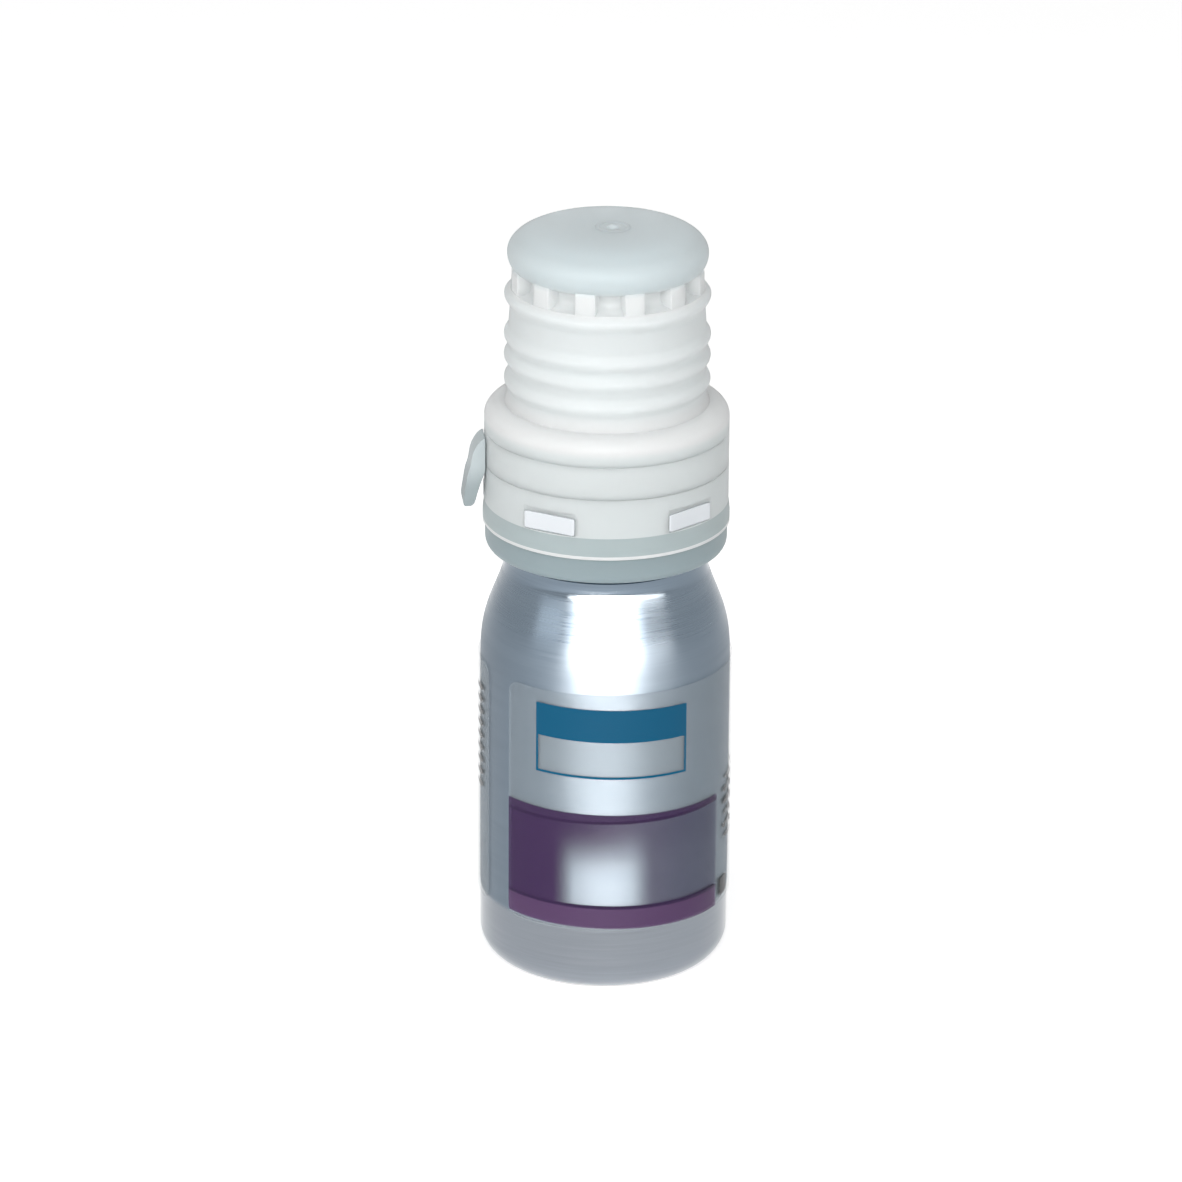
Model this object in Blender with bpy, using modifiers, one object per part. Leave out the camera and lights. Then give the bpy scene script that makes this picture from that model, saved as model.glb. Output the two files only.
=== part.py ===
# Multi-dose eye drop bottle: aluminium bottle, clip-on dropper pump, and a pull-off
# cap joined by a tear band to the ring that stays on the neck.
# Metres, +Z up. The origin is on the table, on the bottle's own axis, and -Y is the front.

import math

import bmesh
import bpy
from mathutils import Matrix, Vector

# Fits that several pieces share
SEAT_GAP = 0.00015       # between faces that rest on each other
SIDE_GAP = 0.0003        # between a piece and the wall round it
SLIDE_GAP = 0.0001       # round small pieces that slide in a bore
STOP_GAP = 0.00035       # left at the end of the pump's stroke
CUT_OVERRUN = 0.0005     # how far a cutter runs past what it cuts
WELD_DISTANCE = 0.000005

# Bottle
BOTTLE_RADIUS = 0.01245
BODY_HEIGHT = 0.0302
SHOULDER_HEIGHT = 0.0128
BASE_CORNER = 0.0028
BASE_RING_WIDTH = 0.0021
BASE_RECESS_DEPTH = 0.0004
BASE_THICKNESS = 0.0009
BOTTLE_WALL = 0.0006
NECK_INSET = 0.00245
NECK_TAPER_HEIGHT = 0.0008
GROOVE_DEPTH = 0.0006
GROOVE_HEIGHT = 0.0014
BEAD_PROUD = 0.0009
BEAD_HEIGHT = 0.0024
NECK_WALL = 0.0016
shoulder_power_share = 2.13

# Label, a clear film with a gap at its overlap
LABEL_BOTTOM = 0.0070
LABEL_HEIGHT = 0.0253
LABEL_THICKNESS = 0.00014
LABEL_CORNER = 0.0012
LABEL_GAP_WIDTH = 0.0040
FILM_GAP = 0.00008
LABEL_GAP_ANGLE = math.radians(-57.4)

# Ring that stays on the neck
RING_INSET = 0.00035
RING_WALL = 0.0008
RING_HEIGHT = 0.00885
RING_FOOT_GAP = 0.0007
RING_FOOT_INSET = 0.0007
RING_FOOT_HEIGHT = 0.0004
RING_FLARE_HEIGHT = 0.0011
RING_LOWER_HEIGHT = 0.0029
RING_STEP_HEIGHT = 0.0010
RING_STEP_PROUD = 0.00013
RING_HOOK_HEIGHT = 0.0014
WINDOW_COUNT = 5
WINDOW_WIDTH = 0.0056
WINDOW_HEIGHT = 0.00185
WINDOW_SILL = 0.00065
WINDOW_LEDGE_HEIGHT = 0.0005
WINDOW_LEDGE_DEPTH = 0.00035
WINDOW_LEDGE_EXTRA = 0.0005
WINDOW_FIRST_ANGLE = math.radians(-28.0)

# Neck seal, pump housing and the snap collar that clamps them
GASKET_THICKNESS = 0.0008
GASKET_BORDER = 0.0004
HOUSING_FLANGE = 0.0009
HOUSING_FLOOR = 0.0009
HOUSING_FLOOR_DROP = 0.0030
SPIGOT_WALL = 0.0007
SPIGOT_SKIRT = 0.0012
COLLAR_WALL = 0.0006
COLLAR_DECK = 0.0010
COLLAR_DROP = 0.00135
COLLAR_RISE = 0.0024
LUG_GAP = 0.0001

# Pump cylinder, valves and intake
STROKE = 0.0025
CYLINDER_BORE = 0.0020
CYLINDER_WALL = 0.0007
CYLINDER_RISE = 0.0032
SEAL_COVER = 0.0015
SEAL_LENGTH = 0.0018
SEAL_LIP = 0.0004
SEAL_WAIST = 0.0002
STEM_RADIUS = 0.00145
STEM_CHANNEL = 0.0005
STEM_SPIGOT = 0.00095
STEM_HEAD_RADIUS = 0.0013
STEM_HEAD_HEIGHT = 0.0003
CAGE_THICKNESS = 0.0007
CAGE_HOLE = 0.0009
CAGE_SLOT = 0.0005
BALL_RADIUS = 0.0013
BALL_LIFT = 0.0005
BALL_GAP = 0.00005
INLET_HOLE = 0.0008
INLET_FLOOR = 0.0008
VENT_HOLE_RADIUS = 0.0004
VENT_HOLE_COUNT = 4
FILTER_THICKNESS = 0.00065
FILTER_BORDER = 0.0004
HOOD_WALL = 0.0006
HOOD_SPACE = 0.0006
HOOD_DEPTH = 0.0012
HOOD_WINDOW_WIDTH = 0.0020
HOOD_WINDOW_HEIGHT = 0.0012
HOOD_TOP_BAND = 0.0005
HOOD_RIB = 0.0005
HOOD_RIB_REACH = 0.0004

# Dropper: finger flange, nozzle and its tip valve
FLANGE_THICKNESS = 0.0010
FLANGE_EDGE = 0.00025
SKIRT_WALL = 0.0008
SLEEVE_WALL = 0.0007
SLEEVE_HOOK = 0.0005
BOSS_RADIUS = 0.0026
CONE_FOOT_RADIUS = 0.0078
CONE_HEIGHT = 0.0036
NOZZLE_BASE_RADIUS = 0.0040
NOZZLE_TOP_RADIUS = 0.00275
NOZZLE_HEIGHT = 0.0095
NOZZLE_CHANNEL = 0.0011
SOCKET_DEPTH = 0.00135
TIP_SOCKET_DEPTH = 0.0026
TIP_HEIGHT = 0.00385
TIP_SHOULDER_RADIUS = 0.00235
TIP_ROUND = 0.0012
TIP_TOP_RADIUS = 0.0009
TIP_ORIFICE = 0.00035
TIP_ORIFICE_LENGTH = 0.0006
TIP_CAVITY = 0.00095
TIP_SEAT_HEIGHT = 0.0008
PIN_HEAD_RADIUS = 0.00075
PIN_HEAD_HEIGHT = 0.0010
PIN_NIPPLE_RADIUS = 0.0002
PIN_STEM_RADIUS = 0.00035
PIN_SEAT_GAP = 0.00007
PIN_TAIL = 0.0006
TIP_STOP_THICKNESS = 0.00065

# Springs
SPRING_WIRE = 0.0003
SPRING_TURNS = 7
SPRING_POINTS = 10
TIP_SPRING_WIRE = 0.00012
TIP_SPRING_TURNS = 4

# Tear band and its pull tab
BAND_HEIGHT = 0.0030
BAND_GAP = 0.0002
BAND_WALL = 0.0008
BRIDGE_COUNT = 8
BRIDGE_WIDTH = 0.0006
BRIDGE_GAP = 0.00005
BRIDGE_DEPTH = 0.0004
TAB_GAP = 0.00015
TAB_WIDTH = 0.0030
TAB_LENGTH = 0.0070
TAB_REACH = 0.0021
TAB_TOP_DROP = 0.0003
TAB_ANGLE = math.radians(-84.0)
tab_outer_shares = ((0.10, 0.01), (0.28, 0.06), (0.46, 0.15), (0.58, 0.25), (0.64, 0.36),
                    (0.69, 0.44), (0.80, 0.55), (0.90, 0.74), (0.98, 0.91))
tab_tip_shares = ((0.98, 0.96), (0.90, 1.00), (0.66, 1.00), (0.52, 0.97), (0.44, 0.92))
tab_inner_shares = ((0.34, 0.80), (0.20, 0.66), (0.06, 0.54), (0.00, 0.46))

# Cap
CAP_WALL = 0.0009
CAP_SKIRT_HEIGHT = 0.0013
CAP_DOME_HEIGHT = 0.0015
CAP_DOME_WIDTH = 0.0020
GRIP_HEIGHT = 0.01185
GRIP_INSET = 0.0025
GRIP_VALLEY_PROUD = 0.00012
GRIP_CREST_PROUD = 0.00057
GRIP_HALF_BEAD = 0.00115
TOP_RING_PROUD = 0.0005
TOP_RING_LOWER = 0.0011
TOP_RING_UPPER = 0.00075
CAP_NECK_HEIGHT = 0.00215
CAP_NECK_DEPTH = 0.0022
RIB_COUNT = 12
RIB_WIDTH = 0.0013
RIB_INSET = 0.0006
RIB_FIRST_ANGLE = math.radians(16.0)
DISC_PROUD = 0.00022
DISC_EDGE_ROUND = 0.0012
DISC_LOWER_EDGE = 0.0013
DISC_UPPER_EDGE = 0.0009
DISC_CROWN = 0.0016
GATE_OFFSET = 0.00045
GATE_RADIUS = 0.0014
GATE_RIM = 0.00026
GATE_SINK = 0.00012
GATE_DIMPLE_RADIUS = 0.0011
GATE_DIMPLE_DEPTH = 0.0004
LINER_DISC = 0.0009
LINER_BOSS_WALL = 0.0007
LINER_CUP_DEPTH = 0.0007
grip_bead_shares = (0.198, 0.405, 0.5865)

LARGE_STEPS = 36
MIDDLE_STEPS = 24
SMALL_STEPS = 16
SMOOTH_ANGLE = math.radians(35.0)

# Heights and radii that follow from the sizes above
neck_foot = BODY_HEIGHT + SHOULDER_HEIGHT
groove_bottom = neck_foot + NECK_TAPER_HEIGHT
groove_top = groove_bottom + GROOVE_HEIGHT
mouth_top = groove_top + BEAD_HEIGHT
base_recess_radius = BOTTLE_RADIUS - BASE_CORNER - BASE_RING_WIDTH
neck_radius = BOTTLE_RADIUS - NECK_INSET
groove_radius = neck_radius - GROOVE_DEPTH
bead_radius = groove_radius + BEAD_PROUD
mouth_radius = neck_radius - NECK_WALL
spigot_radius = mouth_radius - SIDE_GAP

gasket_bottom = mouth_top + SEAT_GAP
flange_bottom = gasket_bottom + GASKET_THICKNESS + SEAT_GAP
flange_top = flange_bottom + HOUSING_FLANGE
deck_bottom = flange_top + SEAT_GAP
deck_top = deck_bottom + COLLAR_DECK
collar_top = deck_top + COLLAR_RISE
collar_bottom = deck_bottom - COLLAR_DROP
ring_radius = BOTTLE_RADIUS - RING_INSET
ring_inner = ring_radius - RING_WALL
collar_radius = ring_inner - SIDE_GAP
collar_inner = collar_radius - COLLAR_WALL

ring_bottom = neck_foot + RING_FOOT_GAP
ring_top = ring_bottom + RING_HEIGHT
ring_ledge = collar_bottom - SIDE_GAP
window_bottom = ring_ledge + WINDOW_SILL
window_top = window_bottom + WINDOW_HEIGHT

band_bottom = ring_top + BAND_GAP
band_top = band_bottom + BAND_HEIGHT
cap_bottom = band_top + BAND_GAP
cap_inner = ring_radius - CAP_WALL

floor_top = flange_bottom - HOUSING_FLOOR_DROP
floor_bottom = floor_top - HOUSING_FLOOR
spigot_bottom = floor_bottom - SPIGOT_SKIRT
spigot_inner = spigot_radius - SPIGOT_WALL
cylinder_radius = CYLINDER_BORE + CYLINDER_WALL
cylinder_top = floor_top + CYLINDER_RISE
seal_top = cylinder_top - SEAL_COVER
seal_bottom = seal_top - SEAL_LENGTH
stem_bottom = seal_bottom - SLIDE_GAP - STEM_HEAD_HEIGHT
cage_top = stem_bottom - STROKE - SEAT_GAP
cage_bottom = cage_top - CAGE_THICKNESS
ball_centre = cage_bottom - BALL_GAP - BALL_LIFT - BALL_RADIUS
seat_apex = ball_centre - (BALL_RADIUS + BALL_GAP) * math.sqrt(2)
seat_bottom = seat_apex + INLET_HOLE
seat_top = seat_apex + CYLINDER_BORE
cylinder_bottom = seat_bottom - INLET_FLOOR
filter_top = floor_bottom - SEAT_GAP
hood_inner = cylinder_radius + HOOD_SPACE
hood_radius = hood_inner + HOOD_WALL
hood_top = filter_top - FILTER_THICKNESS - SEAT_GAP
hood_floor = cylinder_bottom - HOOD_DEPTH

finger_bottom = collar_top + STROKE + STOP_GAP
finger_top = finger_bottom + FLANGE_THICKNESS
finger_radius = cap_inner - SEAT_GAP
skirt_radius = collar_inner - SIDE_GAP
hook_radius = spigot_inner - SIDE_GAP
sleeve_radius = hook_radius - SLEEVE_HOOK
collar_hole_radius = sleeve_radius + SIDE_GAP
sleeve_inner = sleeve_radius - SLEEVE_WALL
sleeve_bottom = floor_top + STROKE + STOP_GAP
boss_bottom = cylinder_top + STROKE + STOP_GAP
stem_top = finger_top + SOCKET_DEPTH - SEAT_GAP
nozzle_base = finger_top + CONE_HEIGHT
nozzle_top = finger_top + NOZZLE_HEIGHT
tip_bottom = nozzle_top + SEAT_GAP
tip_top = tip_bottom + TIP_HEIGHT
tip_spigot_bottom = nozzle_top - TIP_SOCKET_DEPTH + SEAT_GAP
tip_spigot_radius = NOZZLE_CHANNEL + SIDE_GAP
tip_seat_top = tip_top - TIP_ORIFICE_LENGTH
tip_seat_bottom = tip_seat_top - TIP_SEAT_HEIGHT
tip_stop_bottom = tip_spigot_bottom

grip_bottom = cap_bottom + CAP_SKIRT_HEIGHT + CAP_DOME_HEIGHT
grip_top = grip_bottom + GRIP_HEIGHT
disc_bottom = grip_top + CAP_NECK_HEIGHT
disc_rim = disc_bottom + DISC_LOWER_EDGE
disc_shoulder = disc_rim + DISC_UPPER_EDGE
cap_top = disc_shoulder + DISC_CROWN
grip_radius = ring_radius - GRIP_INSET
grip_valley_radius = grip_radius + GRIP_VALLEY_PROUD
grip_crest_radius = grip_radius + GRIP_CREST_PROUD
cap_neck_radius = grip_radius - CAP_NECK_DEPTH
disc_radius = grip_radius + DISC_PROUD
tube_inner = cap_neck_radius - CAP_WALL


def arc(centre_r, centre_z, across, along, start, end, segments):
    """Points of an ellipse's arc, from start to end degrees, measured from outwards to upwards."""
    points = []
    for i in range(segments + 1):
        angle = math.radians(start + (end - start) * i / segments)
        points.append((centre_r + across * math.cos(angle), centre_z + along * math.sin(angle)))
    return points


def front(angle, radius, height):
    """The place at an angle from the front, negative towards the left."""
    return Vector((radius * math.sin(angle), -radius * math.cos(angle), height))


def material(name, colour, roughness, metallic=0.0, alpha=1.0):
    made = bpy.data.materials.new(name)
    made.use_nodes = True
    shader = made.node_tree.nodes["Principled BSDF"]
    shader.inputs["Base Color"].default_value = (*colour, 1.0)
    shader.inputs["Roughness"].default_value = roughness
    shader.inputs["Metallic"].default_value = metallic
    shader.inputs["Alpha"].default_value = alpha
    made.diffuse_color = (*colour, alpha)
    return made


def place(obj, collection, finish=None):
    for owner in obj.users_collection:
        owner.objects.unlink(obj)
    collection.objects.link(obj)
    if finish:
        obj.data.materials.append(finish)
    return obj


def turned(name, profile, steps, collection, finish=None, closed=False):
    """A profile of (radius, height) points, given down its outer side, turned about Z."""
    mesh = bpy.data.meshes.new(name)
    count = len(profile)
    edges = [(i, i + 1) for i in range(count - 1)]
    if closed:
        edges.append((count - 1, 0))
    mesh.from_pydata([(r, 0.0, z) for r, z in profile], edges, [])
    obj = bpy.data.objects.new(name, mesh)
    screw = obj.modifiers.new("turn", "SCREW")
    screw.axis = "Z"
    screw.steps = steps
    screw.render_steps = steps
    screw.use_merge_vertices = True
    screw.merge_threshold = WELD_DISTANCE
    screw.use_smooth_shade = False
    return place(obj, collection, finish)


def blocks(name, inner, outer, bottom, top, width, angles, collection):
    """Upright blocks of one width, one at each angle, standing from the inner to the outer radius."""
    shape = bmesh.new()
    for angle in angles:
        made = bmesh.ops.create_cube(shape, size=1.0)
        size = Matrix.Diagonal((width, outer - inner, top - bottom, 1.0))
        middle = Matrix.Translation((0.0, -(inner + outer) / 2, (bottom + top) / 2))
        turn = Matrix.Rotation(angle, 4, "Z")
        bmesh.ops.transform(shape, matrix=turn @ middle @ size, verts=made["verts"])
    mesh = bpy.data.meshes.new(name)
    shape.to_mesh(mesh)
    shape.free()
    return place(bpy.data.objects.new(name, mesh), collection)


def curved_blocks(name, inner, outer, bottom, top, width, angles, collection):
    """The same blocks, cut from a ring so that their faces follow the wall."""
    ring = turned(name, [(outer, top), (outer, bottom), (inner, bottom), (inner, top)],
                  LARGE_STEPS, collection, closed=True)
    keep = blocks(name + "_sides", inner - CUT_OVERRUN, outer + CUT_OVERRUN, bottom - CUT_OVERRUN,
                  top + CUT_OVERRUN, width, angles, collection)
    boolean(ring, keep, "INTERSECT")
    return ring


def boolean(obj, other, operation):
    made = obj.modifiers.new(other.name, "BOOLEAN")
    made.operation = operation
    made.solver = "EXACT"
    made.object = other


def even_angles(count, first=0.0):
    return [first + 2 * math.pi * i / count for i in range(count)]


def helper(obj):
    obj.hide_render = True
    obj.display_type = "WIRE"


def smooth(obj):
    for polygon in obj.data.polygons:
        polygon.use_smooth = True
    for modifier in obj.modifiers:
        if modifier.type == "SCREW":
            modifier.use_smooth_shade = True


def shoulder(radius_foot, radius_top, bottom, top, segments):
    """The bottle's drawn-in shoulder from its foot up: a late, soft ease from wall to neck."""
    points = []
    for i in range(segments + 1):
        share = i / segments
        drop = (0.5 - 0.5 * math.cos(math.pi * share)) ** shoulder_power_share
        points.append((radius_foot - (radius_foot - radius_top) * drop, bottom + (top - bottom) * share))
    return points


def make_bottle(parts):
    inner = BOTTLE_RADIUS - BOTTLE_WALL
    floor = BASE_RECESS_DEPTH + BASE_THICKNESS
    corner = BASE_CORNER - BOTTLE_WALL
    centre = BOTTLE_RADIUS - BASE_CORNER
    profile = [(0.0, floor)]
    profile += arc(centre, floor + corner, corner, corner, -90, 0, 2)
    profile += shoulder(inner, neck_radius - BOTTLE_WALL, BODY_HEIGHT, neck_foot, 6)
    profile += [(mouth_radius, groove_bottom), (mouth_radius, mouth_top)]
    profile += arc(groove_radius, groove_top + BEAD_HEIGHT / 2, BEAD_PROUD, BEAD_HEIGHT / 2, 90, -90, 5)
    profile += [(groove_radius, groove_bottom)]
    profile += shoulder(BOTTLE_RADIUS, neck_radius, BODY_HEIGHT, neck_foot, 9)[::-1]
    profile += arc(centre, BASE_CORNER, BASE_CORNER, BASE_CORNER, 0, -90, 4)
    profile += [(base_recess_radius, 0.0)]
    profile += [(base_recess_radius - BASE_RECESS_DEPTH, BASE_RECESS_DEPTH), (0.0, BASE_RECESS_DEPTH)]
    return turned("bottle", profile, LARGE_STEPS, parts,
                  material("satin_aluminium", (0.62, 0.64, 0.68), 0.32, metallic=1.0))


def make_label(parts):
    """A film wrapped round the body, whose height shrinks along a quarter circle at each end."""
    inner = BOTTLE_RADIUS + FILM_GAP
    outer = inner + LABEL_THICKNESS
    corner_angle = LABEL_CORNER / outer
    half_gap = LABEL_GAP_WIDTH / outer / 2
    first = LABEL_GAP_ANGLE + half_gap
    last = LABEL_GAP_ANGLE - half_gap + 2 * math.pi
    stations = [(first + corner_angle * (1 - math.cos(turn)), LABEL_CORNER * (1 - math.sin(turn)))
                for turn in [math.pi / 2 * i / 4 for i in range(5)]]
    step = 2 * math.pi / LARGE_STEPS
    inside = [step * i for i in range(-LARGE_STEPS, LARGE_STEPS)]
    stations += [(angle, 0.0) for angle in inside
                 if first + corner_angle + step / 4 < angle < last - corner_angle - step / 4]
    stations += [(first + last - angle, inset) for angle, inset in stations[4::-1]]
    shape = bmesh.new()
    previous = None
    for angle, inset in stations:
        low = LABEL_BOTTOM + inset
        high = LABEL_BOTTOM + LABEL_HEIGHT - inset
        corners = ((outer, low), (outer, high), (inner, high), (inner, low))
        section = [shape.verts.new(front(angle, radius, height)) for radius, height in corners]
        if previous:
            for i in range(4):
                shape.faces.new((previous[i], section[i], section[i - 3], previous[i - 3]))
        else:
            shape.faces.new(section[::-1])
        previous = section
    shape.faces.new(previous)
    bmesh.ops.recalc_face_normals(shape, faces=shape.faces)
    mesh = bpy.data.meshes.new("label")
    shape.to_mesh(mesh)
    shape.free()
    return place(bpy.data.objects.new("label", mesh), parts,
                 material("clear_film", (0.66, 0.70, 0.74), 0.30, alpha=0.5))


def make_neck_gasket(parts):
    inner = mouth_radius + SIDE_GAP
    outer = groove_radius + GASKET_BORDER
    top = gasket_bottom + GASKET_THICKNESS
    profile = [(outer, top), (outer, gasket_bottom), (inner, gasket_bottom), (inner, top)]
    return turned("neck_gasket", profile, MIDDLE_STEPS, parts,
                  material("grey_seal", (0.45, 0.46, 0.47), 0.6), closed=True)


def make_retaining_ring(parts, cutters):
    hook_inner = groove_radius + SIDE_GAP
    throat = bead_radius + SIDE_GAP
    hook_top = ring_bottom + RING_HOOK_HEIGHT
    step_bottom = ring_bottom + RING_LOWER_HEIGHT
    step_top = step_bottom + RING_STEP_HEIGHT
    flare_top = ring_bottom + RING_FLARE_HEIGHT
    foot_radius = ring_radius - RING_FOOT_INSET
    proud = ring_radius + RING_STEP_PROUD
    profile = [(ring_radius, ring_top), (ring_radius, step_top + RING_STEP_PROUD), (proud, step_top),
               (proud, step_bottom), (ring_radius, step_bottom - RING_STEP_PROUD)]
    profile += [(ring_radius - RING_STEP_PROUD, flare_top), (foot_radius, ring_bottom + RING_FOOT_HEIGHT),
                (foot_radius - RING_STEP_PROUD, ring_bottom)]
    profile += [(hook_inner + SIDE_GAP, ring_bottom), (hook_inner, ring_bottom + SIDE_GAP),
                (hook_inner, hook_top), (throat, hook_top + throat - hook_inner)]
    profile += [(throat, ring_ledge), (ring_inner, ring_ledge), (ring_inner, ring_top)]
    ring = turned("retaining_ring", profile, LARGE_STEPS, parts,
                  material("natural_plastic_ring", (0.80, 0.84, 0.84), 0.35, alpha=0.75), closed=True)
    angles = even_angles(WINDOW_COUNT, WINDOW_FIRST_ANGLE)
    windows = blocks("window_cutter", ring_inner - CUT_OVERRUN, ring_radius + CUT_OVERRUN,
                     window_bottom, window_top, WINDOW_WIDTH, angles, cutters)
    ledges = curved_blocks("window_ledge_cutter", ring_radius - WINDOW_LEDGE_DEPTH,
                           ring_radius + CUT_OVERRUN,
                           window_top - WINDOW_LEDGE_HEIGHT / 2, window_top + WINDOW_LEDGE_HEIGHT,
                           WINDOW_WIDTH + 2 * WINDOW_LEDGE_EXTRA, angles, cutters)
    boolean(ring, windows, "DIFFERENCE")
    boolean(ring, ledges, "DIFFERENCE")
    return ring


def make_snap_collar(parts, cutters):
    profile = [(collar_radius, collar_top), (collar_radius, collar_bottom), (collar_inner, collar_bottom),
               (collar_inner, deck_bottom), (collar_hole_radius, deck_bottom),
               (collar_hole_radius, deck_top), (collar_inner, deck_top), (collar_inner, collar_top)]
    collar = turned("snap_collar", profile, LARGE_STEPS, parts,
                    material("white_plastic_collar", (0.90, 0.92, 0.92), 0.4), closed=True)
    lugs = curved_blocks("collar_lugs", collar_radius - COLLAR_WALL / 2, ring_radius - LUG_GAP,
                         window_bottom + LUG_GAP, window_top - WINDOW_LEDGE_HEIGHT / 2 - LUG_GAP,
                         WINDOW_WIDTH - 2 * LUG_GAP, even_angles(WINDOW_COUNT, WINDOW_FIRST_ANGLE), cutters)
    boolean(collar, lugs, "UNION")
    return collar


def make_pump_housing(parts, cutters):
    flange_radius = collar_inner - SIDE_GAP
    profile = [(spigot_inner, flange_top), (flange_radius, flange_top), (flange_radius, flange_bottom),
               (spigot_radius, flange_bottom), (spigot_radius, spigot_bottom + SIDE_GAP),
               (spigot_radius - SIDE_GAP, spigot_bottom), (spigot_inner, spigot_bottom),
               (spigot_inner, floor_bottom), (cylinder_radius, floor_bottom),
               (cylinder_radius, cylinder_bottom), (INLET_HOLE, cylinder_bottom), (INLET_HOLE, seat_bottom),
               (CYLINDER_BORE, seat_top), (CYLINDER_BORE, cylinder_top), (cylinder_radius, cylinder_top),
               (cylinder_radius, floor_top), (spigot_inner, floor_top)]
    housing = turned("pump_housing", profile, MIDDLE_STEPS, parts,
                     material("white_plastic_housing", (0.86, 0.88, 0.88), 0.4), closed=True)
    middle = (cylinder_radius + spigot_inner) / 2
    shape = bmesh.new()
    for angle in even_angles(VENT_HOLE_COUNT, math.pi / VENT_HOLE_COUNT):
        spot = front(angle, middle, (floor_top + floor_bottom) / 2)
        bmesh.ops.create_cone(shape, cap_ends=True, segments=8, radius1=VENT_HOLE_RADIUS,
                              radius2=VENT_HOLE_RADIUS, depth=HOUSING_FLOOR + 2 * CUT_OVERRUN,
                              matrix=Matrix.Translation(spot))
    mesh = bpy.data.meshes.new("vent_hole_cutter")
    shape.to_mesh(mesh)
    shape.free()
    holes = place(bpy.data.objects.new("vent_hole_cutter", mesh), cutters)
    boolean(housing, holes, "DIFFERENCE")
    return housing


def make_vent_filter(parts):
    inner = cylinder_radius + FILTER_BORDER
    outer = spigot_inner - SIDE_GAP
    bottom = filter_top - FILTER_THICKNESS
    profile = [(outer, filter_top), (outer, bottom), (inner, bottom), (inner, filter_top)]
    return turned("vent_filter", profile, MIDDLE_STEPS, parts,
                  material("white_filter", (0.93, 0.93, 0.90), 0.9), closed=True)


def make_intake_hood(parts, cutters):
    """A cup round the cylinder, open beside the neck, so that the upturned bottle empties."""
    bottom = hood_floor - HOOD_WALL
    profile = [(0.0, hood_floor), (hood_inner, hood_floor), (hood_inner, hood_top), (hood_radius, hood_top),
               (hood_radius, bottom + HOOD_WALL), (hood_radius - HOOD_WALL, bottom), (0.0, bottom)]
    hood = turned("intake_hood", profile, SMALL_STEPS, parts,
                  material("natural_plastic_hood", (0.84, 0.86, 0.86), 0.4))
    window_high = hood_top - HOOD_TOP_BAND
    window_low = window_high - HOOD_WINDOW_HEIGHT
    windows = blocks("hood_window_cutter", hood_inner - HOOD_SPACE / 2, hood_radius + CUT_OVERRUN,
                     window_low, window_high, HOOD_WINDOW_WIDTH, even_angles(3), cutters)
    ribs = blocks("hood_ribs", hood_inner - HOOD_RIB_REACH, hood_inner + HOOD_WALL / 2,
                  hood_floor - HOOD_WALL / 2, window_high, HOOD_RIB, even_angles(3, math.pi / 3), cutters)
    boolean(hood, windows, "DIFFERENCE")
    boolean(hood, ribs, "UNION")
    return hood


def make_ball_cage(parts, cutters):
    outer = CYLINDER_BORE - SLIDE_GAP
    cage = turned("ball_cage", [(outer, cage_top), (outer, cage_bottom), (CAGE_HOLE, cage_bottom),
                                (CAGE_HOLE, cage_top)], SMALL_STEPS, parts,
                  material("white_plastic_cage", (0.88, 0.88, 0.88), 0.5), closed=True)
    slots = blocks("cage_slot_cutter", 0.0, (CAGE_HOLE + outer) / 2, cage_bottom - CUT_OVERRUN,
                   cage_top + CUT_OVERRUN, CAGE_SLOT, even_angles(4), cutters)
    boolean(cage, slots, "DIFFERENCE")
    return cage


def make_inlet_ball(parts):
    shape = bmesh.new()
    bmesh.ops.create_uvsphere(shape, u_segments=14, v_segments=8, radius=BALL_RADIUS)
    mesh = bpy.data.meshes.new("inlet_ball")
    shape.to_mesh(mesh)
    shape.free()
    ball = bpy.data.objects.new("inlet_ball", mesh)
    ball.location = (0.0, 0.0, ball_centre)
    return place(ball, parts, material("steel_ball", (0.70, 0.70, 0.72), 0.15, metallic=1.0))


def make_piston_stem(parts):
    head = stem_bottom + STEM_HEAD_HEIGHT
    profile = [(STEM_CHANNEL, stem_top), (STEM_RADIUS, stem_top), (STEM_RADIUS, seal_top + SLIDE_GAP),
               (STEM_SPIGOT, seal_top + SLIDE_GAP), (STEM_SPIGOT, head), (STEM_HEAD_RADIUS, head),
               (STEM_HEAD_RADIUS, stem_bottom), (STEM_CHANNEL, stem_bottom)]
    return turned("piston_stem", profile, SMALL_STEPS, parts,
                  material("white_plastic_stem", (0.87, 0.88, 0.88), 0.4), closed=True)


def make_piston_seal(parts):
    outer = CYLINDER_BORE - SLIDE_GAP
    inner = STEM_SPIGOT + SLIDE_GAP
    waist = outer - SEAL_WAIST
    profile = [(inner, seal_top), (outer, seal_top), (outer, seal_top - SEAL_LIP),
               (waist, seal_top - 2 * SEAL_LIP), (waist, seal_bottom + 2 * SEAL_LIP),
               (outer, seal_bottom + SEAL_LIP), (outer, seal_bottom), (inner, seal_bottom)]
    return turned("piston_seal", profile, SMALL_STEPS, parts,
                  material("soft_seal", (0.75, 0.76, 0.78), 0.6), closed=True)


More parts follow.
